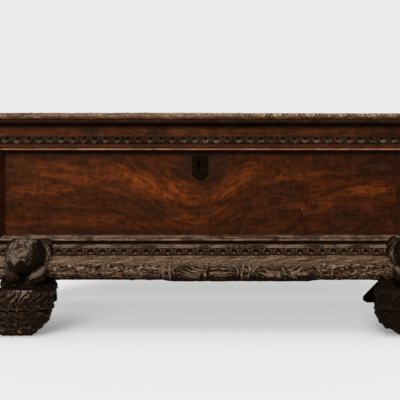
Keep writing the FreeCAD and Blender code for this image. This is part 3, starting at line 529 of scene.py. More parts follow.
def mouldings(name, section, pitch, material, first_seed, relief=None, faces=case_faces, body="chest"):
    """The front, left and right lengths of a moulding, each shaped to a section of (reach, height) points
    and then carved: relief gives how far each point stands out and how worn it is, from its place along the
    run and its height. Pitch is how close the points are, along the run and round the section."""
    left, front, right, back = faces
    ring = np.array(planed(section, pitch[1]))
    tangent = np.roll(ring, -1, axis=0) - np.roll(ring, 1, axis=0)
    outward = np.stack([tangent[:, 1], -tangent[:, 0]], axis=1)
    outward /= np.linalg.norm(outward, axis=1)[:, None]
    for seed, side in enumerate(("front", "left", "right"), first_seed):
        start, end = (left, right) if side == "front" else (front, back)
        columns = round((end - start) / pitch[0])
        bpy.ops.object.select_all(action="DESELECT")
        bpy.ops.mesh.primitive_grid_add(x_subdivisions=columns, y_subdivisions=len(ring), size=1)
        piece = bpy.context.object
        node = name.format(side)
        piece.name = "carved_" + node
        flat = corners(piece)
        share = flat[:, 0] + 0.5
        row = np.rint((flat[:, 1] + 0.5) * len(ring)).astype(int) % len(ring)
        reach, height = ring[row].T
        along = start + (end - start) * share
        spots = np.stack([along, reach, height], axis=1)
        lift = ripple(spots, 0.060, seed) * 0.0004 + ripple(spots, 0.018, seed + 1) * 0.0002
        worn = np.full(len(spots), 0.5)
        if relief:
            carving, worn = relief(along, height, spots)
            lift = lift + carving
        lift = lift * rising(reach, hidden_reach, 0.002)
        reach = reach + outward[row, 0] * lift
        height = height + outward[row, 1] * lift
        if side == "front":
            along = (left - reach) + (right - left + 2 * reach) * share
            points = np.stack([along, front - reach, height], axis=1)
        else:
            along = (front - reach) + (back - front + reach) * share
            across = left - reach if side == "left" else right + reach
            points = np.stack([across, along, height], axis=1)
        carved(piece, points, worn)
        bpy.ops.object.mode_set(mode="EDIT")
        bpy.ops.mesh.select_all(action="SELECT")
        bpy.ops.mesh.remove_doubles(threshold=merge_distance)
        bpy.ops.mesh.fill_holes(sides=0)
        bpy.ops.mesh.select_all(action="SELECT")
        bpy.ops.mesh.normals_make_consistent(inside=False)
        bpy.ops.object.mode_set(mode="OBJECT")
        bpy.ops.object.shade_smooth_by_angle(angle=math.radians(50))
        put_in_place(piece, node, material, body)


frieze_low, frieze_high = heights("front_frieze_board")
frieze_reach = case_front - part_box("front_frieze_board")[0].y
frieze_middle = 0.565
arris = 0.0012
frieze_section = [(0.0, frieze_low), (frieze_reach, frieze_low), (frieze_reach, frieze_high - arris),
                  (frieze_reach - arris, frieze_high), (0.0, frieze_high)]
frieze_walnut = walnut(
    "frieze_walnut", (36, 16, 6), (64, 31, 13), (82, 46, 26), edge=(96, 76, 60), flame=0.54, speck_share=0.6,
    patches=(
        (-0.500, frieze_middle, 0.140, 0.040, 0.0, (66, 26, 6), 0.75),
        (-0.331, frieze_middle, 0.030, 0.030, 0.0, ash_black, 0.75),
        (-0.137, 0.562, 0.036, 0.028, 0.0, ash_black, 0.75),
        (-0.139, 0.566, 0.002, 0.002, 0.0, (120, 104, 90), 0.80),
        (0.560, frieze_middle, 0.140, 0.040, 0.0, deep_brown, 0.55),
        # A painted shadow of the lid's overhang along the top of the frieze.
        (0.000, frieze_high - 0.0030, whole_run, 0.0060, 0.0, ash_black, 0.90),
    ),
)
mouldings("{}_frieze_board", frieze_section, (0.006, 0.004), frieze_walnut, 11)

# Upper egg mouldings
# A strip carved with eggs in open shells and a dart between each pair. The left half of the front is
# crisp; the right half has been rubbed to soft bumps.
carved_moulding = walnut("carved_moulding", (28, 15, 7), (46, 30, 18), (58, 41, 28), crest=(112, 92, 78),
                         grime_and_shade=(11, 4, 1), depth=0.008, flame=0.25)
upper_low, upper_high = heights("front_upper_egg_moulding")
upper_foot_reach = 0.015
upper_belly_reach = 0.017
upper_top_reach = 0.012
belly_share = 0.45
upper_belly = upper_low + (upper_high - upper_low) * belly_share
upper_top = (upper_top_reach, upper_high)
upper_section = [(0.0, upper_low),
                 *swell((upper_foot_reach, upper_low), (upper_belly_reach, upper_belly), upper_top, 20),
                 upper_top, (0.0, upper_high)]
upper_pitch = 0.0306
upper_first = -0.4655
crisp_end = -0.16
shell_rise = 0.0130
shell_reach = 0.0116
shell_line = 0.0106
shell_high = 0.0215
pit_rise = 0.0172
pit_half = (0.0068, 0.0056)
egg_rise = 0.0092
egg_half_height = 0.0066
crisp_egg = 0.0080
soft_egg = 0.0098
ground_depth = 0.0022
shell_lift = 0.0016
egg_lift = 0.0026
pit_depth = 0.0052
line_lift = 0.0012


def bump(distance, reach):
    """A rounded bump that is 1 in its middle and 0 beyond its reach."""
    return np.sqrt(np.clip(1 - (distance / reach) ** 2, 0, 1))


def dome(across, up, wide, tall):
    """An oval bump of half widths wide and tall."""
    return bump(np.hypot(across / wide, up / tall), 1.0)


def centred(place, pitch):
    """The place within its own pitch, from the pitch's middle."""
    return place % pitch - pitch / 2


def upper_eggs(along, height, spots):
    """Each egg hangs in a hollow shell that is open at the top, with a dart between shells. The egg is
    rubbed pale on its lower half, partly as painted highlight; the pit above it and the band's top and
    bottom edges are painted dark as shade."""
    uneven = ripple(spots, 0.05, 21)
    along = along + 0.0009 * ripple(spots * (1.0, 0.0, 0.0), 0.07, 25)
    across = centred(along - upper_first + upper_pitch / 2, upper_pitch)
    rise = height - upper_low
    bowl = np.where(rise < shell_rise, np.hypot(across, (rise - shell_rise) * 1.02), np.abs(across))
    within = falling(bowl, shell_reach, 0.0014)
    shell = bump(bowl - shell_line, 0.0022) * (rise < shell_high)
    pit = dome(across, rise - pit_rise, *pit_half)
    egg = dome(across, rise - egg_rise, np.where(along < crisp_end, crisp_egg, soft_egg), egg_half_height)
    dart = bump(upper_pitch / 2 - np.abs(across), 0.0002 + 0.0011 * rising(rise, 0, 0.020))
    dart = dart * (rise > 0.003) * (rise < 0.021)
    crisp = np.where(along < crisp_end, 1.0, 0.55) * np.clip(0.85 + 0.3 * uneven, 0.4, 1.15)
    rim = rising(rise, 0.0012, 0.0012) * falling(rise, 0.0232, 0.0008)
    lift = shell_lift * within + egg_lift * egg - pit_depth * pit
    lift = lift + line_lift * crisp * (shell + dart) - ground_depth
    lift = lift * rim + 0.0005 * ripple(spots, 0.006, 22)
    fine = 0.12 * ripple(spots, 0.007, 23) + 0.12 * ripple(spots, 0.0045, 24)
    patchy = np.clip(0.72 + 0.26 * ripple(spots, 0.030, 26), 0.4, 1.1)
    worn = 0.16 + 0.12 * (1 - crisp) + 0.14 * within + crisp * (0.16 * shell + 0.30 * dart) + fine
    # The egg painted pale, partly as highlight, and the pit above it painted dark as shade.
    worn = worn + 0.44 * np.clip(1.4 * egg, 0, 1) * patchy - 0.40 * pit * within
    # The band's top and bottom edges painted dark as shade.
    return lift, worn - 0.3 * (1 - rim) + 0.08 * uneven


mouldings("{}_upper_egg_moulding", upper_section, (0.0011, 0.0013), carved_moulding, 31,
          upper_eggs)

# Lower egg mouldings
# The base moulding: a groove and a pale rubbed fillet over a row of arches, each with a hollow and a
# half-moon bead in its foot. The groove and the hollows are painted dark as shade, and the fillet and the
# beads are painted paler, partly as highlight.
lower_low, lower_top = heights("front_lower_egg_moulding")
egg_height = 0.021
fillet_height = 0.0095
lower_foot_reach = 0.023
lower_belly_reach = 0.025
lower_top_reach = 0.019
fillet_reach = 0.022
groove_reach = 0.006
egg_top = lower_low + egg_height
fillet_top = egg_top + fillet_height
lower_belly = lower_low + egg_height * belly_share
lower_section = [(0.0, lower_low),
                 *swell((lower_foot_reach, lower_low), (lower_belly_reach, lower_belly),
                        (lower_top_reach, egg_top), 18),
                 (lower_top_reach, egg_top), (fillet_reach, egg_top + 0.0006),
                 (fillet_reach, fillet_top - arris), (fillet_reach - arris, fillet_top),
                 (groove_reach, fillet_top), (groove_reach, lower_top), (0.0, lower_top)]
lower_pitch = 0.0299
lower_first = -0.4376
arch_rise = 0.0112
arch_half = (0.0082, 0.0078)
bead_rise = 0.0072
bead_half = (0.0056, 0.0030)
arch_depth = 0.0064
bead_lift = 0.0050


def lower_arches(along, height, spots):
    """Round-headed hollows with a bead in the foot of each, and broad pillars between. The hollows are
    painted dark as shade, the beads pale partly as highlight, and the band darker towards its foot as shade.
    The fillet above them is rubbed pale in stretches, partly as painted highlight, and the groove is painted
    dark as shade."""
    along = along + 0.0008 * ripple(spots * (1.0, 0.0, 0.0), 0.07, 47)
    across = centred(along - lower_first + lower_pitch / 2, lower_pitch)
    rise = height - lower_low
    away = np.hypot(across / arch_half[0], (rise - arch_rise) / arch_half[1])
    hollow = bump(away, 1.0)
    bead = dome(across, rise - bead_rise, *bead_half)
    brow = bump(away - 1.28, 0.22) * (rise > 0.011)
    split = bump(lower_pitch / 2 - np.abs(across), 0.0010) * (rise > 0.004) * (rise < 0.017)
    within = rising(rise, 0, 0.0012) * (rise < egg_height - 0.0004)
    uneven = ripple(spots, 0.05, 41)
    lift = -arch_depth * hollow + bead_lift * bead + line_lift * brow - line_lift * split
    lift = (lift * (0.95 + 0.1 * uneven) + 0.0004 * ripple(spots, 0.006, 42)) * within
    fine = 0.16 * ripple(spots, 0.007, 43) + 0.10 * ripple(spots, 0.0045, 46)
    worn = 0.38 + 0.30 * brow - 0.22 * split + fine
    # The hollows painted dark as shade, the beads pale partly as highlight.
    worn = worn * (1 - np.clip(2.2 * hollow, 0, 1)) + 0.80 * np.clip(1.6 * bead, 0, 1)
    # Darker towards the band's foot, as painted shade.
    worn = worn - 0.35 * falling(rise, 0.0030, 0.0020)
    stretches = 0.42 * ripple(spots * (0.4, 1.0, 1.0), 0.020, 44) + 0.18 * ripple(spots, 0.006, 45)
    # The fillet pale in stretches, partly as painted highlight.
    worn = np.where(rise > egg_height - 0.0004, 0.74 + stretches, worn)
    # The groove painted dark as shade.
    return lift, np.where(rise > egg_height + fillet_height + 0.0003, 0.08, worn)


mouldings("{}_lower_egg_moulding", lower_section, (0.0012, 0.0013), carved_moulding, 51,
          lower_arches)

# Torus rails
# The rounded base rail is carved along its lower half with leaf sprays and scrolls between double
# ties; the upper half is plain. The carving is crisp in the middle and worn to lumps near the feet.
ember = (120, 66, 30)
carved_walnut = walnut(
    "carved_walnut", (54, 38, 27), (80, 62, 48), (98, 79, 63), rough=0.52, crest=(148, 120, 97),
    grime_and_shade=(15, 6, 2), depth=0.009, flame=0.26,
    patches=(
        (-0.40, 0.154, 0.030, 0.010, 0.0, ember, 0.60),
        (-0.33, 0.150, 0.022, 0.008, 0.0, ember, 0.60),
        (-0.26, 0.158, 0.030, 0.010, 0.0, ember, 0.55),
        (-0.15, 0.152, 0.060, 0.010, 0.0, ember, 0.55),
        (0.36, 0.158, 0.060, 0.012, 0.0, ember, 0.35),
        (0.47, 0.160, 0.040, 0.014, 0.0, ember, 0.30),
    ),
)
torus_low, torus_high = heights("front_torus_rail")
torus_reach = case_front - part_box("front_torus_rail")[0].y
torus_foot_reach = 0.014
torus_top = (0.024, torus_high)
torus_belly = (torus_reach - 0.001, torus_low + (torus_high - torus_low) * 0.55)
torus_section = [(0.0, torus_low), *swell((torus_foot_reach, torus_low), torus_belly, torus_top, 46),
                 torus_top, (0.0, torus_high)]
spray_spacing = 0.2118
leaf_spray_at = -0.0062
band_high = 0.0440
outside = -9.0


def lobe(u, v, start, tip, bow, width):
    """A carved lobe: a bowed stroke, full past its root and pointed at its tip. Gives how far inside its
    outline a point lies, as a share of its width, and less than zero outside."""
    (u0, v0), (u1, v1) = start, tip
    length = math.dist(start, tip)
    across = (-(v1 - v0) / length, (u1 - u0) / length)
    best = np.full(len(u), outside)
    steps = max(6, math.ceil(length / width * 2.0))
    for t in (step / steps for step in range(steps + 1)):
        arch = 4 * bow * t * (1 - t)
        spot_u = u0 + (u1 - u0) * t + across[0] * arch
        spot_v = v0 + (v1 - v0) * t + across[1] * arch
        radius = width * (0.30 + 0.70 * math.sin(math.pi * min(1.0, 0.20 + 0.80 * t) ** 0.9))
        best = np.maximum(best, (radius - np.hypot(u - spot_u, v - spot_v)) / width)
    return best


def lobes(u, v, strokes, full_width, upright=1.0):
    """How far inside the nearest of some lobes a point lies; broad lobes stand highest."""
    depth = np.full(len(u), outside)
    for u0, v0, u1, v1, bow, width in strokes:
        stroke = lobe(u, v, (u0, v0 * upright), (u1, v1 * upright), bow, width)
        depth = np.maximum(depth, stroke * width / full_width)
    return depth


def rounded(depth):
    """A round back over whatever lies inside its outline."""
    return bump(1 - np.clip(depth, 0, 1), 1.0)


# Each stroke: its root and tip, each along and up as shares of half a spray and of the band, bow, width
leaf_spray_shares = (
    (-0.13, 0.47, -0.73, 0.90, 0.050, 0.034),
    (-0.09, 0.60, -0.56, 0.98, 0.040, 0.034),
    (-0.06, 0.74, -0.42, 1.02, 0.030, 0.032),
    (-0.04, 0.86, -0.22, 1.06, 0.010, 0.026),
    (-0.15, 0.36, -0.74, 0.60, 0.030, 0.034),
    (-0.14, 0.24, -0.72, 0.34, 0.010, 0.034),
    (-0.14, 0.12, -0.56, 0.12, 0.000, 0.030),
    (-0.68, 1.04, -0.72, 0.10, -0.125, 0.036),
    (-0.80, 1.00, -0.86, 0.14, -0.060, 0.024),
    (0.02, 0.80, 0.06, 1.06, 0.010, 0.030),
    (0.12, 0.82, 0.34, 0.98, -0.030, 0.030),
    (0.36, 0.84, 0.62, 0.98, -0.030, 0.030),
    (0.10, 0.56, 0.68, 0.62, -0.020, 0.044),
    (0.22, 0.36, 0.66, 0.38, 0.000, 0.038),
    (0.16, 0.16, 0.58, 0.14, 0.010, 0.032),
    (0.66, 1.04, 0.72, 0.10, 0.125, 0.036),
    (0.80, 1.00, 0.86, 0.14, 0.060, 0.024),
    (-0.02, 0.06, -0.02, 0.74, 0.000, 0.058),
    (-0.08, 0.70, 0.05, 0.70, 0.000, 0.026),
)
rosette_spray_shares = (
    (-0.16, 0.58, -0.62, 0.90, 0.050, 0.050),
    (-0.14, 0.47, -0.70, 0.56, 0.020, 0.050),
    (-0.12, 0.36, -0.60, 0.22, -0.030, 0.050),
    (-0.08, 0.26, -0.30, 0.04, -0.020, 0.040),
    (-0.68, 1.04, -0.72, 0.10, -0.125, 0.036),
    (-0.80, 1.00, -0.88, 0.14, -0.060, 0.024),
    (-0.04, 0.74, -0.12, 1.02, 0.020, 0.034),
    (0.06, 0.74, 0.20, 1.02, -0.030, 0.034),
    (0.13, 0.62, 0.40, 1.00, -0.060, 0.046),
    (0.16, 0.52, 0.68, 0.84, -0.060, 0.050),
    (0.14, 0.42, 0.66, 0.46, 0.020, 0.048),
    (0.10, 0.30, 0.42, 0.10, 0.030, 0.044),
    (0.02, 0.26, 0.06, 0.02, 0.000, 0.034),
    (0.68, 1.04, 0.74, 0.10, 0.125, 0.036),
    (0.80, 1.00, 0.86, 0.14, 0.060, 0.024),
)
rosette_high_share = 0.52
rosette_share = 0.094
tie_share = 0.905
tie_half_share = 0.036
crisp_from = -0.135
crisp_to = 0.306
full_stroke = 0.036
lobe_lift = 0.0034
cut_depth = 0.0030
lump_lift = 0.0016


def torus_carving(along, height, spots):
    """Sprays of lobes between double ties, each with a cut round it, worn away towards both feet. The cuts
    are painted dark partly as shade, and the rail darker towards its lower edge, where it turns under, as
    shade.
    """
    half = spray_spacing / 2
    upright = band_high / half
    wander = along + 0.0012 * ripple(spots, 0.022, 67)
    number = np.floor((wander - leaf_spray_at) / spray_spacing + 0.5)
    u = (wander - leaf_spray_at - number * spray_spacing) / half
    v = (height - torus_low) / band_high + 0.03 * ripple(spots, 0.018, 68)
    depth = np.full(len(along), outside)
    rosette = number % 2 == 1
    for choice, strokes in ((~rosette, leaf_spray_shares), (rosette, rosette_spray_shares)):
        where = np.flatnonzero(choice & (v < 1.4))
        depth[where] = lobes(u[where], v[where] * upright, strokes, full_stroke, upright)
    heart = np.hypot(u, (v - rosette_high_share) * upright) / rosette_share
    petals = (1 - heart) * 1.6 - 0.7 * bump(heart - 0.50, 0.22)
    depth = np.where(rosette & (heart < 1.1), petals, depth)
    curve = 0.03 * (2 * v - 1) ** 2
    tie = (tie_half_share - np.abs(np.abs(u) - tie_share - curve)) / tie_half_share
    bars = np.where(np.abs(u) > 0.94, 0.64 - np.abs(np.abs(v - 0.50) - 0.22) * 4.4, -2.0)
    depth = np.maximum(depth, np.where(v < 1.05, np.maximum(tie, bars), outside))
    back = rounded(depth)
    uneven = ripple(spots, 0.015, 69)
    cut = bump(depth + 0.32, 0.46) * falling(v, 1.04, 0.16, 0.1) * np.clip(0.85 + 0.4 * uneven, 0.3, 1)
    ground = falling(v, 1.16, 0.12)
    kept = np.minimum(rising(along, crisp_from, 0.04), falling(along, crisp_to, 0.03))
    lumps = 0.62 * ripple(spots * (0.55, 1.0, 1.3), 0.0095, 61)
    lumps = lumps + 0.56 * ripple(spots * (0.7, 1.0, 1.2), 0.0058, 62)
    stripes = ripple(spots * (0.10, 1.0, 1.0), 0.0045, 63)
    fine = 0.14 * ripple(spots, 0.007, 64) + 0.10 * ripple(spots, 0.0048, 65)
    lift = kept * (lobe_lift * back - cut_depth * cut) + (1 - kept) * lump_lift * (lumps - 0.4 + 0.5 * back)
    lift = lift * ground * rising(v, 0.02, 0.12) + (1 - ground) * 0.0005 * stripes
    crest = rising(depth, 0.45, 0.30) * np.clip(0.7 + uneven, 0.1, 1.2)
    # The cuts painted dark partly as shade.
    crisp = 0.38 + 0.14 * back + 0.52 * crest - 0.56 * cut + 1.2 * fine
    dull = 0.46 + 0.46 * lumps + 0.14 * back - 0.16 * cut + 0.25 * rising(v, 0.5, 0.4) * lumps
    worn = 0.48 + 0.26 * stripes + 1.2 * fine
    worn = worn * (1 - ground) + ground * (kept * crisp + (1 - kept) * dull)
    # Painted shade towards the lower edge, where the rail turns under.
    worn = worn - 0.70 * falling(v, 0.46, 0.40)
    sag = 0.0030 + 0.0020 * ripple(spots, 0.030, 66)
    return lift + falling(v, 0.10, 0.10) * (kept * 0.0026 - (1 - kept) * sag), worn


mouldings("{}_torus_rail", torus_section, (0.0016, 0.0016), carved_walnut, 71,
          torus_carving)

# Front feet
# Each foot is carved from one block: a round knee under a veined leaf, leaf flanks that curl forward,
# a neck painted dark as shade, and a paw wrapped in leaf tips and scales, whose lower half is a block glued
# on.
upright_grain = (0.0, math.radians(90), 0.0)
foot_walnut = walnut("foot_walnut", (19, 11, 6), (35, 24, 16), (48, 36, 26), rough=0.45, turn=upright_grain,
                     crest=(114, 97, 82), grime_and_shade=(8, 3, 1), depth=0.014, flame=0.25,
                     patches=((-0.512, 0.014, 0.008, 0.006, 0.0, (170, 112, 66), 0.85),))
knee_ahead = 0.052
knee_radius = 0.048
knee_z = torus_low + 0.0735
paw_high = torus_low - 0.017
neck_low = 0.115
collar_low = 0.093
paw_joint = 0.073
voxel = 0.0018
leaf_tips = 34
curls_round = 25
curl_height = 0.0185


def voxelled(node, extra):
    """A copy of a CAD piece, joined with extra shapes into one even skin that can be carved."""
    piece = taken_up(node, "carved_")
    bpy.ops.object.mode_set(mode="OBJECT")
    for shape in extra:
        shape.select_set(True)
    if extra:
        bpy.ops.object.join()
    remesh = piece.modifiers.new("even skin", "REMESH")
    remesh.mode = "VOXEL"
    remesh.voxel_size = voxel
    bpy.ops.object.modifier_apply(modifier=remesh.name)
    return piece


def outwards(piece):
    """The outward direction at each point of a mesh."""
    flat = np.empty(len(piece.data.vertices) * 3, np.float32)
    piece.data.vertex_normals.foreach_get("vector", flat)
    return flat.reshape(-1, 3).astype(float)


def knee_cap(u, v, points, seed):
    """A worn leaf that caps the knee and ends in ragged lobes over its underside. The knee is painted dark
    below the cap and towards its inner side as shade, and the cap's pale top is partly a painted highlight.
    """
    hem = -0.46 + 0.24 * np.abs(np.sin(4.4 * u + 1.36)) + 0.06 * ripple(points, 0.016, seed)
    edge = 0.72 + 0.20 * v + 0.08 * ripple(points, 0.024, seed + 1)
    cap = rising(v, hem, 0.07) * falling(u, edge, 0.40)
    curls = ripple(points, 0.013, seed + 2)
    lines = bump(curls, 0.22) * np.clip(0.7 + 0.7 * ripple(points, 0.02, seed + 3), 0.0, 1)
    speckle = ripple(points, 0.0048, seed + 4)
    broad = ripple(points, 0.024, seed + 5)
    polish = dome(u + 0.30, v + 0.22, 0.34, 0.30)
    mottled = 0.66 + 0.10 * broad + 0.12 * curls + 0.17 * speckle - 0.20 * lines * (1 - 0.6 * polish)
    # A little paler on the knee's inner side, softening its painted shade.
    side = 0.18 * rising(u, 0.35, 0.2) * rising(v, -0.5, 0.2)
    return cap * (0.0030 + 0.0008 * curls - 0.0014 * lines), 0.10 + side + cap * (mottled + 0.28 * polish)


# The leaf beside the knee: root and tip of each strand, as shares of the knee radius, with bow and width
flank_leaf_shares = (
    (0.66, 0.96, 1.36, 0.14, 0.12, 0.11),
    (0.90, 0.62, 1.34, -0.06, 0.06, 0.09),
    (0.60, 1.16, 1.24, 0.84, 0.05, 0.11),
    (0.96, 0.98, 1.40, 0.50, 0.05, 0.09),
    (1.16, 0.34, 1.26, -0.70, 0.08, 0.13),
    (1.04, 0.02, 1.08, -0.86, 0.08, 0.14),
    (1.30, 0.00, 1.20, -1.10, 0.04, 0.10),
    (0.98, -0.40, 0.78, -1.10, 0.10, 0.24),
    (0.92, -0.56, 0.44, -1.20, 0.12, 0.26),
    (0.74, -0.74, 0.20, -1.20, 0.10, 0.24),
    (0.52, -0.90, 0.22, -1.42, 0.06, 0.15),
)
curl_eye = (0.62, -1.20)


def flank_leaf(u, v):
    """Strands that run down beside the knee and widen to a veined lobe with a small round eye."""
    depth = lobes(u, v, flank_leaf_shares, 0.16)
    back = rounded(depth)
    cut = bump(depth + 0.26, 0.40)
    eye = bump(np.hypot(u - curl_eye[0], v - curl_eye[1]), 0.085)
    veins = 0.5 + 0.5 * np.cos((0.82 * u - 0.57 * v + 0.10 * np.sin(3.0 * v)) * 48)
    lit = falling(u, 1.41, 0.06, 0.12) * falling(v, 1.10, 0.55, 0.4)
    lift = 0.0040 * back - 0.0024 * cut + 0.0016 * eye - 0.0012 * veins * back
    return lift, lit * (0.34 + 0.66 * back - 0.20 * cut + 0.30 * eye - 0.30 * veins * back)


def collar_leaves(angle, z, points, seed, front):
    """Broad leaf tips that lean round the top of the paw, under a rim that is pale only at the front. The
    pale rim is a painted highlight, and the leaves are painted darker towards the sides as shade.
    """
    high = (z - collar_low) / (paw_high - collar_low)
    sway = 0.30 * ripple(points, 0.030, seed) + 0.16 * np.sin(6.0 * high)
    turn = centred(angle / (2 * math.pi) * leaf_tips - 0.9 * high + sway, 1.0) + 0.05
    leaf = falling(np.abs(turn), 0.50 * np.sqrt(np.clip(high + 0.02, 0, 1)), 0.13)
    rim = bump(high - 0.98 + 0.06 * ripple(points, 0.016, seed + 2), 0.09) * front
    vein = bump(turn, 0.06) * leaf
    blotch = np.clip(0.84 + 0.34 * ripple(points, 0.022, seed + 1), 0.4, 1.15)
    lift = 0.0050 * leaf * falling(high, 1.25, 1.0) - 0.0014 * vein + 0.0010 * rim
    # Pale rim at the front as painted highlight; leaves darker towards the sides as painted shade.
    return lift, 0.16 + blotch * (0.78 * leaf - 0.30 * vein) * (0.4 + 0.6 * front) + 0.40 * rim


def scale_curls(angle, z, points, seed):
    """Uneven rows of curls: a dark hollow over a thin pale lower rim, rubbed away in places."""
    level = (z + 0.0050 * ripple(points, 0.034, seed)) / curl_height
    row = np.floor(level)
    high = level - row
    slide = 0.32 * ripple(points, 0.042, seed + 1) + 0.5 * row + 0.9 * high
    turn = centred(angle / (2 * math.pi) * curls_round + slide, 1.0)
    away = np.hypot(turn * 1.8, (high - 0.60) * 1.35)
    rim = bump(away - 0.66, 0.17) * falling(high, 0.85, 0.4)
    hollow = bump(away, 0.52)
    shown = np.clip(0.46 + 0.60 * ripple(points, 0.024, seed + 2), 0.05, 1.0)
    lift = (0.0044 * rim - 0.0030 * hollow) * (0.5 + 0.5 * shown)
    return lift, 0.26 + shown * (0.62 * rim - 0.20 * hollow)


def carve_foot(piece, middle, inward, seed, shade, side):
    """Cuts the cap, leaves, collar and scales into the skin of a foot. Shade dulls the paw, and side moves
    its inner flank out or in at each of the side heights."""
    points = corners(piece)
    normals = outwards(piece)
    x = points[:, 0] - middle
    inner = x * inward
    ahead = case_front - points[:, 1]
    z = points[:, 2]
    u = inner / knee_radius
    v = (z - knee_z) / knee_radius
    from_knee = np.linalg.norm(np.stack([x, ahead - knee_ahead, z - knee_z], axis=1), axis=1)
    on_knee = falling(from_knee, knee_radius + 0.0025, 0.002) * (ahead > 0.036)
    on_paw = falling(z, paw_high + 0.006, 0.004)
    on_flank = (1 - on_knee) * (1 - on_paw) * rising(z, torus_low - 0.006, 0.006) * (ahead > 0.012)
    on_scales = on_paw * (z < collar_low)
    on_collar = on_paw * (z >= collar_low)
    gap = bump(from_knee - knee_radius - 0.0045, 0.0040) * (ahead > 0.030)
    glue_line = z - paw_joint
    cap = knee_cap(u, v, points, seed + 20)
    flank = [np.where(u > 0, near, far) for near, far in zip(flank_leaf(u, v), flank_leaf(-u, v))]
    # The far flank painted darker, as shade.
    flank[1] = np.where(u > 0, flank[1], flank[1] * 0.55) * (0.74 + 0.26 * shade)
    angle = np.arctan2(x, ahead + 0.011)
    front = rising(ahead, 0.050, 0.006) * falling(inner, 0.034, 0.010) * rising(inner, -0.046, 0.010)
    collar = collar_leaves(angle, z, points, seed + 30, front)
    scales = scale_curls(angle, z, points, seed + 40)
    lift = on_knee * cap[0] + on_flank * (flank[0] - 0.003 * gap)
    lift = lift + on_collar * collar[0] + on_scales * scales[0]
    lift = lift + on_paw * (0.0010 * ripple(points, 0.014, seed) - 0.0022 * bump(glue_line, 0.0014))
    lift = lift + 0.0006 * ripple(points, 0.007, seed + 1)
    # The neck, the knee's underside and the ring round the knee are painted dark as shade.
    worn = 0.08 + on_knee * (cap[1] - 0.08) + on_flank * (flank[1] - 0.35 * gap - 0.08)
    worn = np.where(on_collar > 0.5, collar[1] * shade, worn)
    # Upward faces under the rail painted dark as shade.
    worn = np.where((normals[:, 2] > 0.75) & (z > neck_low) & (z < torus_low + 0.004), 0.10, worn)
    worn = np.where(on_scales > 0.5, scales[1] * shade, worn)
    blotches = 0.11 * ripple(points, 0.010, seed + 2) + 0.10 * ripple(points, 0.0055, seed + 3)
    worn = worn + blotches * (worn > 0.12) - 0.3 * bump(glue_line, 0.0020)
    points[:, 0] += inward * np.interp(z, side_heights, side) * rising(inner, 0.010, 0.040)
    shown = rising(ahead, 0.004, 0.004) + (z < torus_low - 0.003)
    moved = points + normals * (lift * np.clip(rising(z, 0.001, 0.004) * shown, 0, 1))[:, None]
    moved[:, 2] = np.maximum(moved[:, 2], 0.0)
    carved(piece, moved, worn)


def lump(middle, size):
    """A rounded lump of wood to be carved."""
    bpy.ops.object.select_all(action="DESELECT")
    bpy.ops.mesh.primitive_ico_sphere_add(subdivisions=4, radius=1.0, location=middle, scale=size)
    bpy.ops.object.transform_apply(location=True, rotation=True, scale=True)
    return bpy.context.object


# Each foot: its middle, the way its inner flank faces, how pale its paw is, how far above the knee's
# middle its inner leaf springs, and how far its inner flank stands out at each of the side heights.
# Each lump: how far in and ahead it sits, its height and its half sizes
side_heights = (0.0, 0.012, 0.026, 0.048, 0.080, collar_low)
feet = {"left": (case_left + 0.146, 1, 0.94, 0.012, (-0.020, -0.012, -0.006, 0.0, 0.0, 0.0)),
        "right": (case_right - 0.081, -1, 0.26, 0.020, (-0.004, 0.004, 0.010, 0.012, 0.003, 0.0))}
for seed, (side, (middle, inward, shade, crown, profile)) in zip((91, 101), feet.items()):
    lumps = (
        (0.047, -0.012, torus_low - 0.018, (0.020, 0.040, 0.018)),
        (-0.068, -0.016, torus_low - 0.010, (0.024, 0.040, 0.020)),
        (0.050, 0.026, knee_z + crown, (0.017, 0.016, 0.034)),
        (-0.033, 0.050, torus_low + 0.024, (0.024, 0.017, 0.026)),
        (0.033, 0.050, torus_low + 0.024, (0.024, 0.017, 0.026)),
    )
    added = [lump((middle + inward * inner, case_front - ahead, z), size) for inner, ahead, z, size in lumps]
    for node, extra in (("front_" + side + "_foot", added), ("front_" + side + "_paw_block", ())):
        piece = voxelled(node, extra)
        carve_foot(piece, middle, inward, seed, shade, profile)
        bpy.ops.object.shade_smooth()
        put_in_place(piece, node, foot_walnut, "chest")

# Rear feet, back rail and dowels
# Plain sawn brackets stand under the back corners, with a rail tenoned between them, and turned pegs
# come down through the bottom into every foot.
# The brackets and the rail are painted dark, partly as shade for the shadow under the chest.
shade_dark_walnut = walnut("shade_dark_walnut", (24, 15, 9), (36, 23, 14), (48, 31, 19), rough=0.8, gloss=0.0)
bracket_arris = 0.0015
for node in ("rear_left_foot", "rear_right_foot", "back_base_rail"):
    softened(node, bracket_arris, shade_dark_walnut)
finished(frame["nodes"]["foot_dowels"], plain_wood)

# Hinges and nails
# Two wrought strap hinges, hammered flat and blackened, each with a turned knuckle, a headed pin and
# hand-made nails.
iron_arris = 0.0004


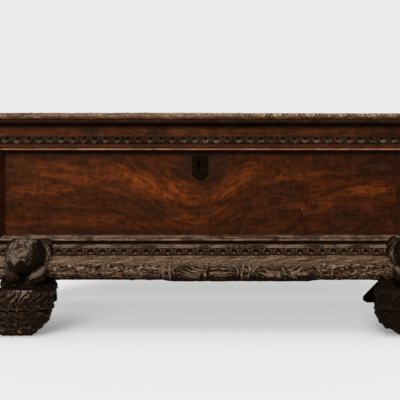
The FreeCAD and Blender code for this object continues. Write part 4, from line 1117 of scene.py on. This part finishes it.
def wrought(name, dark, body, rust, rough, metal=0.75):
    """Hammered iron, blackened by wax and handling, with a little rust."""
    material, tree = new_material(name)
    place = shader_node(tree, "TexCoord").outputs["Object"]
    cloud = noise(tree, place, (90.0, 90.0, 90.0), 5.0)
    spots = eased(tree, noise(tree, place, (260.0, 260.0, 260.0), 4.0), 0.52, 0.66)
    colour = blended(tree, eased(tree, cloud, 0.35, 0.65), tone(dark), tone(body))
    colour = blended(tree, times(tree, spots, 0.6), colour, tone(rust))
    mask = from_group(tree, rubbed, Place=place, Reach=0.0012)[0]
    colour = blended(tree, times(tree, mask, 0.5 * metal), colour, tone((74, 62, 52)))
    roughness = eased(tree, cloud, 0.3, 0.7, rough - 0.1, rough + 0.15)
    hammer = worked(tree, "ADD", times(tree, cloud, 0.7), times(tree, spots, 0.3))
    bumps = shader_node(tree, "Bump", Strength=0.5, Distance=0.001, Height=hammer).outputs[0]
    fed(tree, tree.nodes["Principled BSDF"], Base_Color=colour, Roughness=roughness, Normal=bumps,
        Metallic=metal, Specular_IOR_Level=0.05, Specular_Tint=warm_gloss)
    return material


wrought_iron = wrought("wrought_iron", (17, 13, 11), (36, 30, 26), (48, 28, 18), 0.5)


def forged(node, body="chest", material=wrought_iron):
    """An iron piece with its arrises just broken."""
    softened(node, iron_arris, material, body)


for side in ("left", "right"):
    forged(side + "_hinge_body_leaf")
    forged(side + "_hinge_lid_leaf", "lid")
for node in ("hinge_pins", "hinge_body_nails", "hinge_lid_nails", "batten_nails", "escutcheon_nails",
             "lock_nails", "lock_key_post", "lock_spring"):
    finished(frame["nodes"][node], wrought_iron)

# Lock and escutcheon
# A forged lock nailed behind the front board: plate, case, guides, spring and sliding bolt. Outside,
# a small shield of thin iron guards the keyhole.
smoked_iron = wrought("smoked_iron", (6, 3, 1), (15, 8, 4), (32, 16, 7), 0.75, 0.0)
forged("lock_plate")
forged("lock_case")
forged("escutcheon", material=smoked_iron)
forged("lock_bolt", "lock_bolt")
forged("lid_staple", "lid")

# Lid
# Two walnut planks, tongued and grooved, held flat by battens nailed across their underside.
lid_walnut = walnut("lid_walnut", (50, 28, 14), (78, 46, 25), (98, 62, 36), rough=0.45,
                    edge=(124, 92, 66), flame=0.2)
batten_arris = 0.002
for node in ("lid_front_plank", "lid_rear_plank"):
    softened(node, board_arris, lid_walnut, "lid")
for side in ("left", "right"):
    softened("lid_" + side + "_batten", batten_arris, plain_wood, "lid")

# Lid nosings
# A moulding mitred round three edges of the lid: small leaves worn nearly flat along its face, a row
# of notches under them, and a plain cove below.
nosing_walnut = walnut("nosing_walnut", (84, 60, 40), (108, 83, 63), (124, 99, 78), crest=(172, 145, 119),
                       grime_and_shade=(38, 18, 7), depth=0.006, flame=0.32,
                       patches=((0.0, 0.6005, whole_run, 0.0060, 0.0, (96, 64, 38), 0.75),))
lid_left, lid_front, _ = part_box("lid_front_plank")[0]
lid_faces = (lid_left, lid_front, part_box("lid_front_plank")[1].x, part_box("lid_rear_plank")[1].y)
lid_low, lid_high = heights("lid_front_nosing")
nosing_reach = lid_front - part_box("lid_front_nosing")[0].y
cove_reach = 0.012
cove_height = 0.008
nosing_neck = 0.003
nosing_round = 0.006
round_share = 0.29
cove_top = lid_low + cove_height
neck_foot = (nosing_reach - nosing_neck, cove_top)
round_end = (nosing_reach - nosing_round, lid_high)
nosing_section = [(0.0, lid_low),
                  *swell((cove_reach, lid_low), (cove_reach + nosing_neck / 2, lid_low + cove_height / 2),
                         neck_foot, 5),
                  neck_foot, (nosing_reach, cove_top + nosing_neck),
                  *swell((nosing_reach, lid_high - nosing_round),
                         (nosing_reach - nosing_round * round_share, lid_high - nosing_round * round_share),
                         round_end, 5),
                  round_end, (0.0, lid_high)]
leaf_pitch = 0.0443
small_pitch = leaf_pitch / 3
notch_pitch = leaf_pitch / 6


def nosing_leaves(along, height, spots):
    """Pairs of slanting cuts with small leaves between them, rubbed nearly flat towards the left, notches
    along the lower edge and a cove. The cuts, the notches and the cove are painted dark as shade. The top
    edge has worn down towards both ends."""
    rise = height - cove_top
    slanted = centred(along - rise * 0.75, leaf_pitch)
    cuts = np.maximum(bump(slanted - 0.0048, 0.0016), bump(slanted + 0.0048, 0.0016))
    cuts = cuts * rising(rise, 0.0025, 0.002)
    leaf = dome(centred(along + rise * 0.45, small_pitch), rise - 0.0095, small_pitch * 0.46, 0.0080)
    notch = dome(centred(along + notch_pitch / 2, notch_pitch), rise - 0.0024, 0.0022, 0.0020)
    crisp = 0.30 + 0.62 * rising(along, 0.06, 0.10)
    faded = np.clip(crisp + 0.30 * ripple(spots * (1.0, 0.0, 0.0), 0.10, 81), 0.10, 1.0)
    front = (rise > 0.0003) * (spots[:, 1] > nosing_reach * 0.6)
    carving = (-0.0024 + 0.0026 * leaf) * faded - 0.0028 * cuts * faded - 0.0018 * notch * faded
    drop = 0.0034 * rising(along, 0.02, 0.60) + 0.0022 * falling(along, -0.50, 0.16)
    drop = drop * rising(height, lid_high - nosing_round, nosing_round)
    blotches = 0.17 * ripple(spots * (0.4, 1.0, 1.0), 0.012, 83) + 0.13 * ripple(spots, 0.0052, 84)
    # The cuts and notches painted dark as shade.
    worn = 0.54 + faded * (0.34 * leaf - 0.12 - 0.85 * cuts) - 0.45 * notch * faded + blotches
    # The cove under the nosing painted dark as shade.
    worn = np.where(rise > 0.0003, worn, 0.09 + 0.4 * blotches)
    return (carving + 0.0005 * ripple(spots, 0.007, 82)) * front - drop * (spots[:, 1] > 0.004), worn


mouldings("lid_{}_nosing", nosing_section, (0.0014, 0.0014), nosing_walnut, 85,
          nosing_leaves, lid_faces, "lid")

# Studio
# A pale floor, plain soft light from above and in front, and a level camera at the photograph's place.


def grey(level):
    """A plain grey of the given level."""
    return (level, level, level, 1.0)


pale = grey(0.831)


def backdrop_rays(tree):
    """What the camera sees, straight or by way of a mirror or glass."""
    rays = shader_node(tree, "LightPath").outputs
    seen = worked(tree, "MAXIMUM", rays["Is Camera Ray"], rays["Is Glossy Ray"])
    return worked(tree, "MAXIMUM", seen, rays["Is Transmission Ray"])


def shown_over(tree, share, under, over, end):
    """Lays one shader over another by a share, and ends the tree with them."""
    mixed = in_order(tree, shader_node(tree, "MixShader"), (share, under, over))[0]
    shader_node(tree, end, Surface=mixed)


def floor_material():
    """A floor that shows pale and keeps the object's shadow, and throws little light back up. More glow in a
    band under and behind the chest lightens that shadow as painted light.
    """
    material, tree = new_material("pale_floor")
    tree.nodes.clear()
    place = shader_node(tree, "TexCoord").outputs["Object"]
    seen = backdrop_rays(tree)
    paint = blended(tree, seen, grey(0.25), grey(0.77))
    lit = shader_node(tree, "BsdfDiffuse", Color=paint).outputs[0]
    glow = shader_node(tree, "Emission", Color=pale, Strength=1.0).outputs[0]
    depth = shader_node(tree, "SeparateXYZ", Vector=place).outputs[1]
    behind = worked(tree, "ABSOLUTE", worked(tree, "SUBTRACT", depth, 0.175))
    # Painted light: more glow in a band under and behind the chest, lightening its shadow.
    under = eased(tree, behind, 0.06, 0.46, 0.62, 0.28)
    far = worked(tree, "MAXIMUM", under, eased(tree, vector_work(tree, "LENGTH", place), 0.9, 3.0))
    shown_over(tree, times(tree, seen, far), lit, glow, "OutputMaterial")
    return material


bpy.ops.mesh.primitive_circle_add(vertices=96, radius=14.0, fill_type="NGON", location=(0.0, 0.0, 0.0))
floor = bpy.context.object
floor.name = "studio_floor"
finished(floor, floor_material())

scene = bpy.context.scene
world = bpy.data.worlds.new("studio")
scene.world = world
world.use_nodes = True
world.node_tree.nodes.clear()
room = shader_node(world.node_tree, "Background", Color=grey(1.0), Strength=0.14).outputs[0]
backdrop = shader_node(world.node_tree, "Background", Color=pale, Strength=1.0).outputs[0]
shown_over(world.node_tree, backdrop_rays(world.node_tree), room, backdrop, "OutputWorld")


def lamp(name, strength, spread, towards):
    """A soft sun that shines towards a direction."""
    light = bpy.data.lights.new(name, "SUN")
    light.energy = strength
    light.angle = math.radians(spread)
    holder = bpy.data.objects.new(name, light)
    holder.rotation_mode = "QUATERNION"
    holder.rotation_quaternion = Vector(towards).to_track_quat("-Z", "Y")
    scene.collection.objects.link(holder)


lamp("key_light", 3.0, 34.0, (0.26, 0.88, -0.47))
lamp("top_light", 1.7, 60.0, (0.05, 0.20, -1.0))

eye_ahead = 1.5
eye_height = 0.372
camera = bpy.data.cameras.new("camera")
camera.lens = 47.25
camera.sensor_width = 36.0
viewer = bpy.data.objects.new("camera", camera)
viewer.location = (-0.0229, case_front - eye_ahead, eye_height)
viewer.rotation_euler = (math.radians(90), 0.0, 0.0)
scene.collection.objects.link(viewer)
scene.camera = viewer
scene.view_settings.view_transform = "Standard"
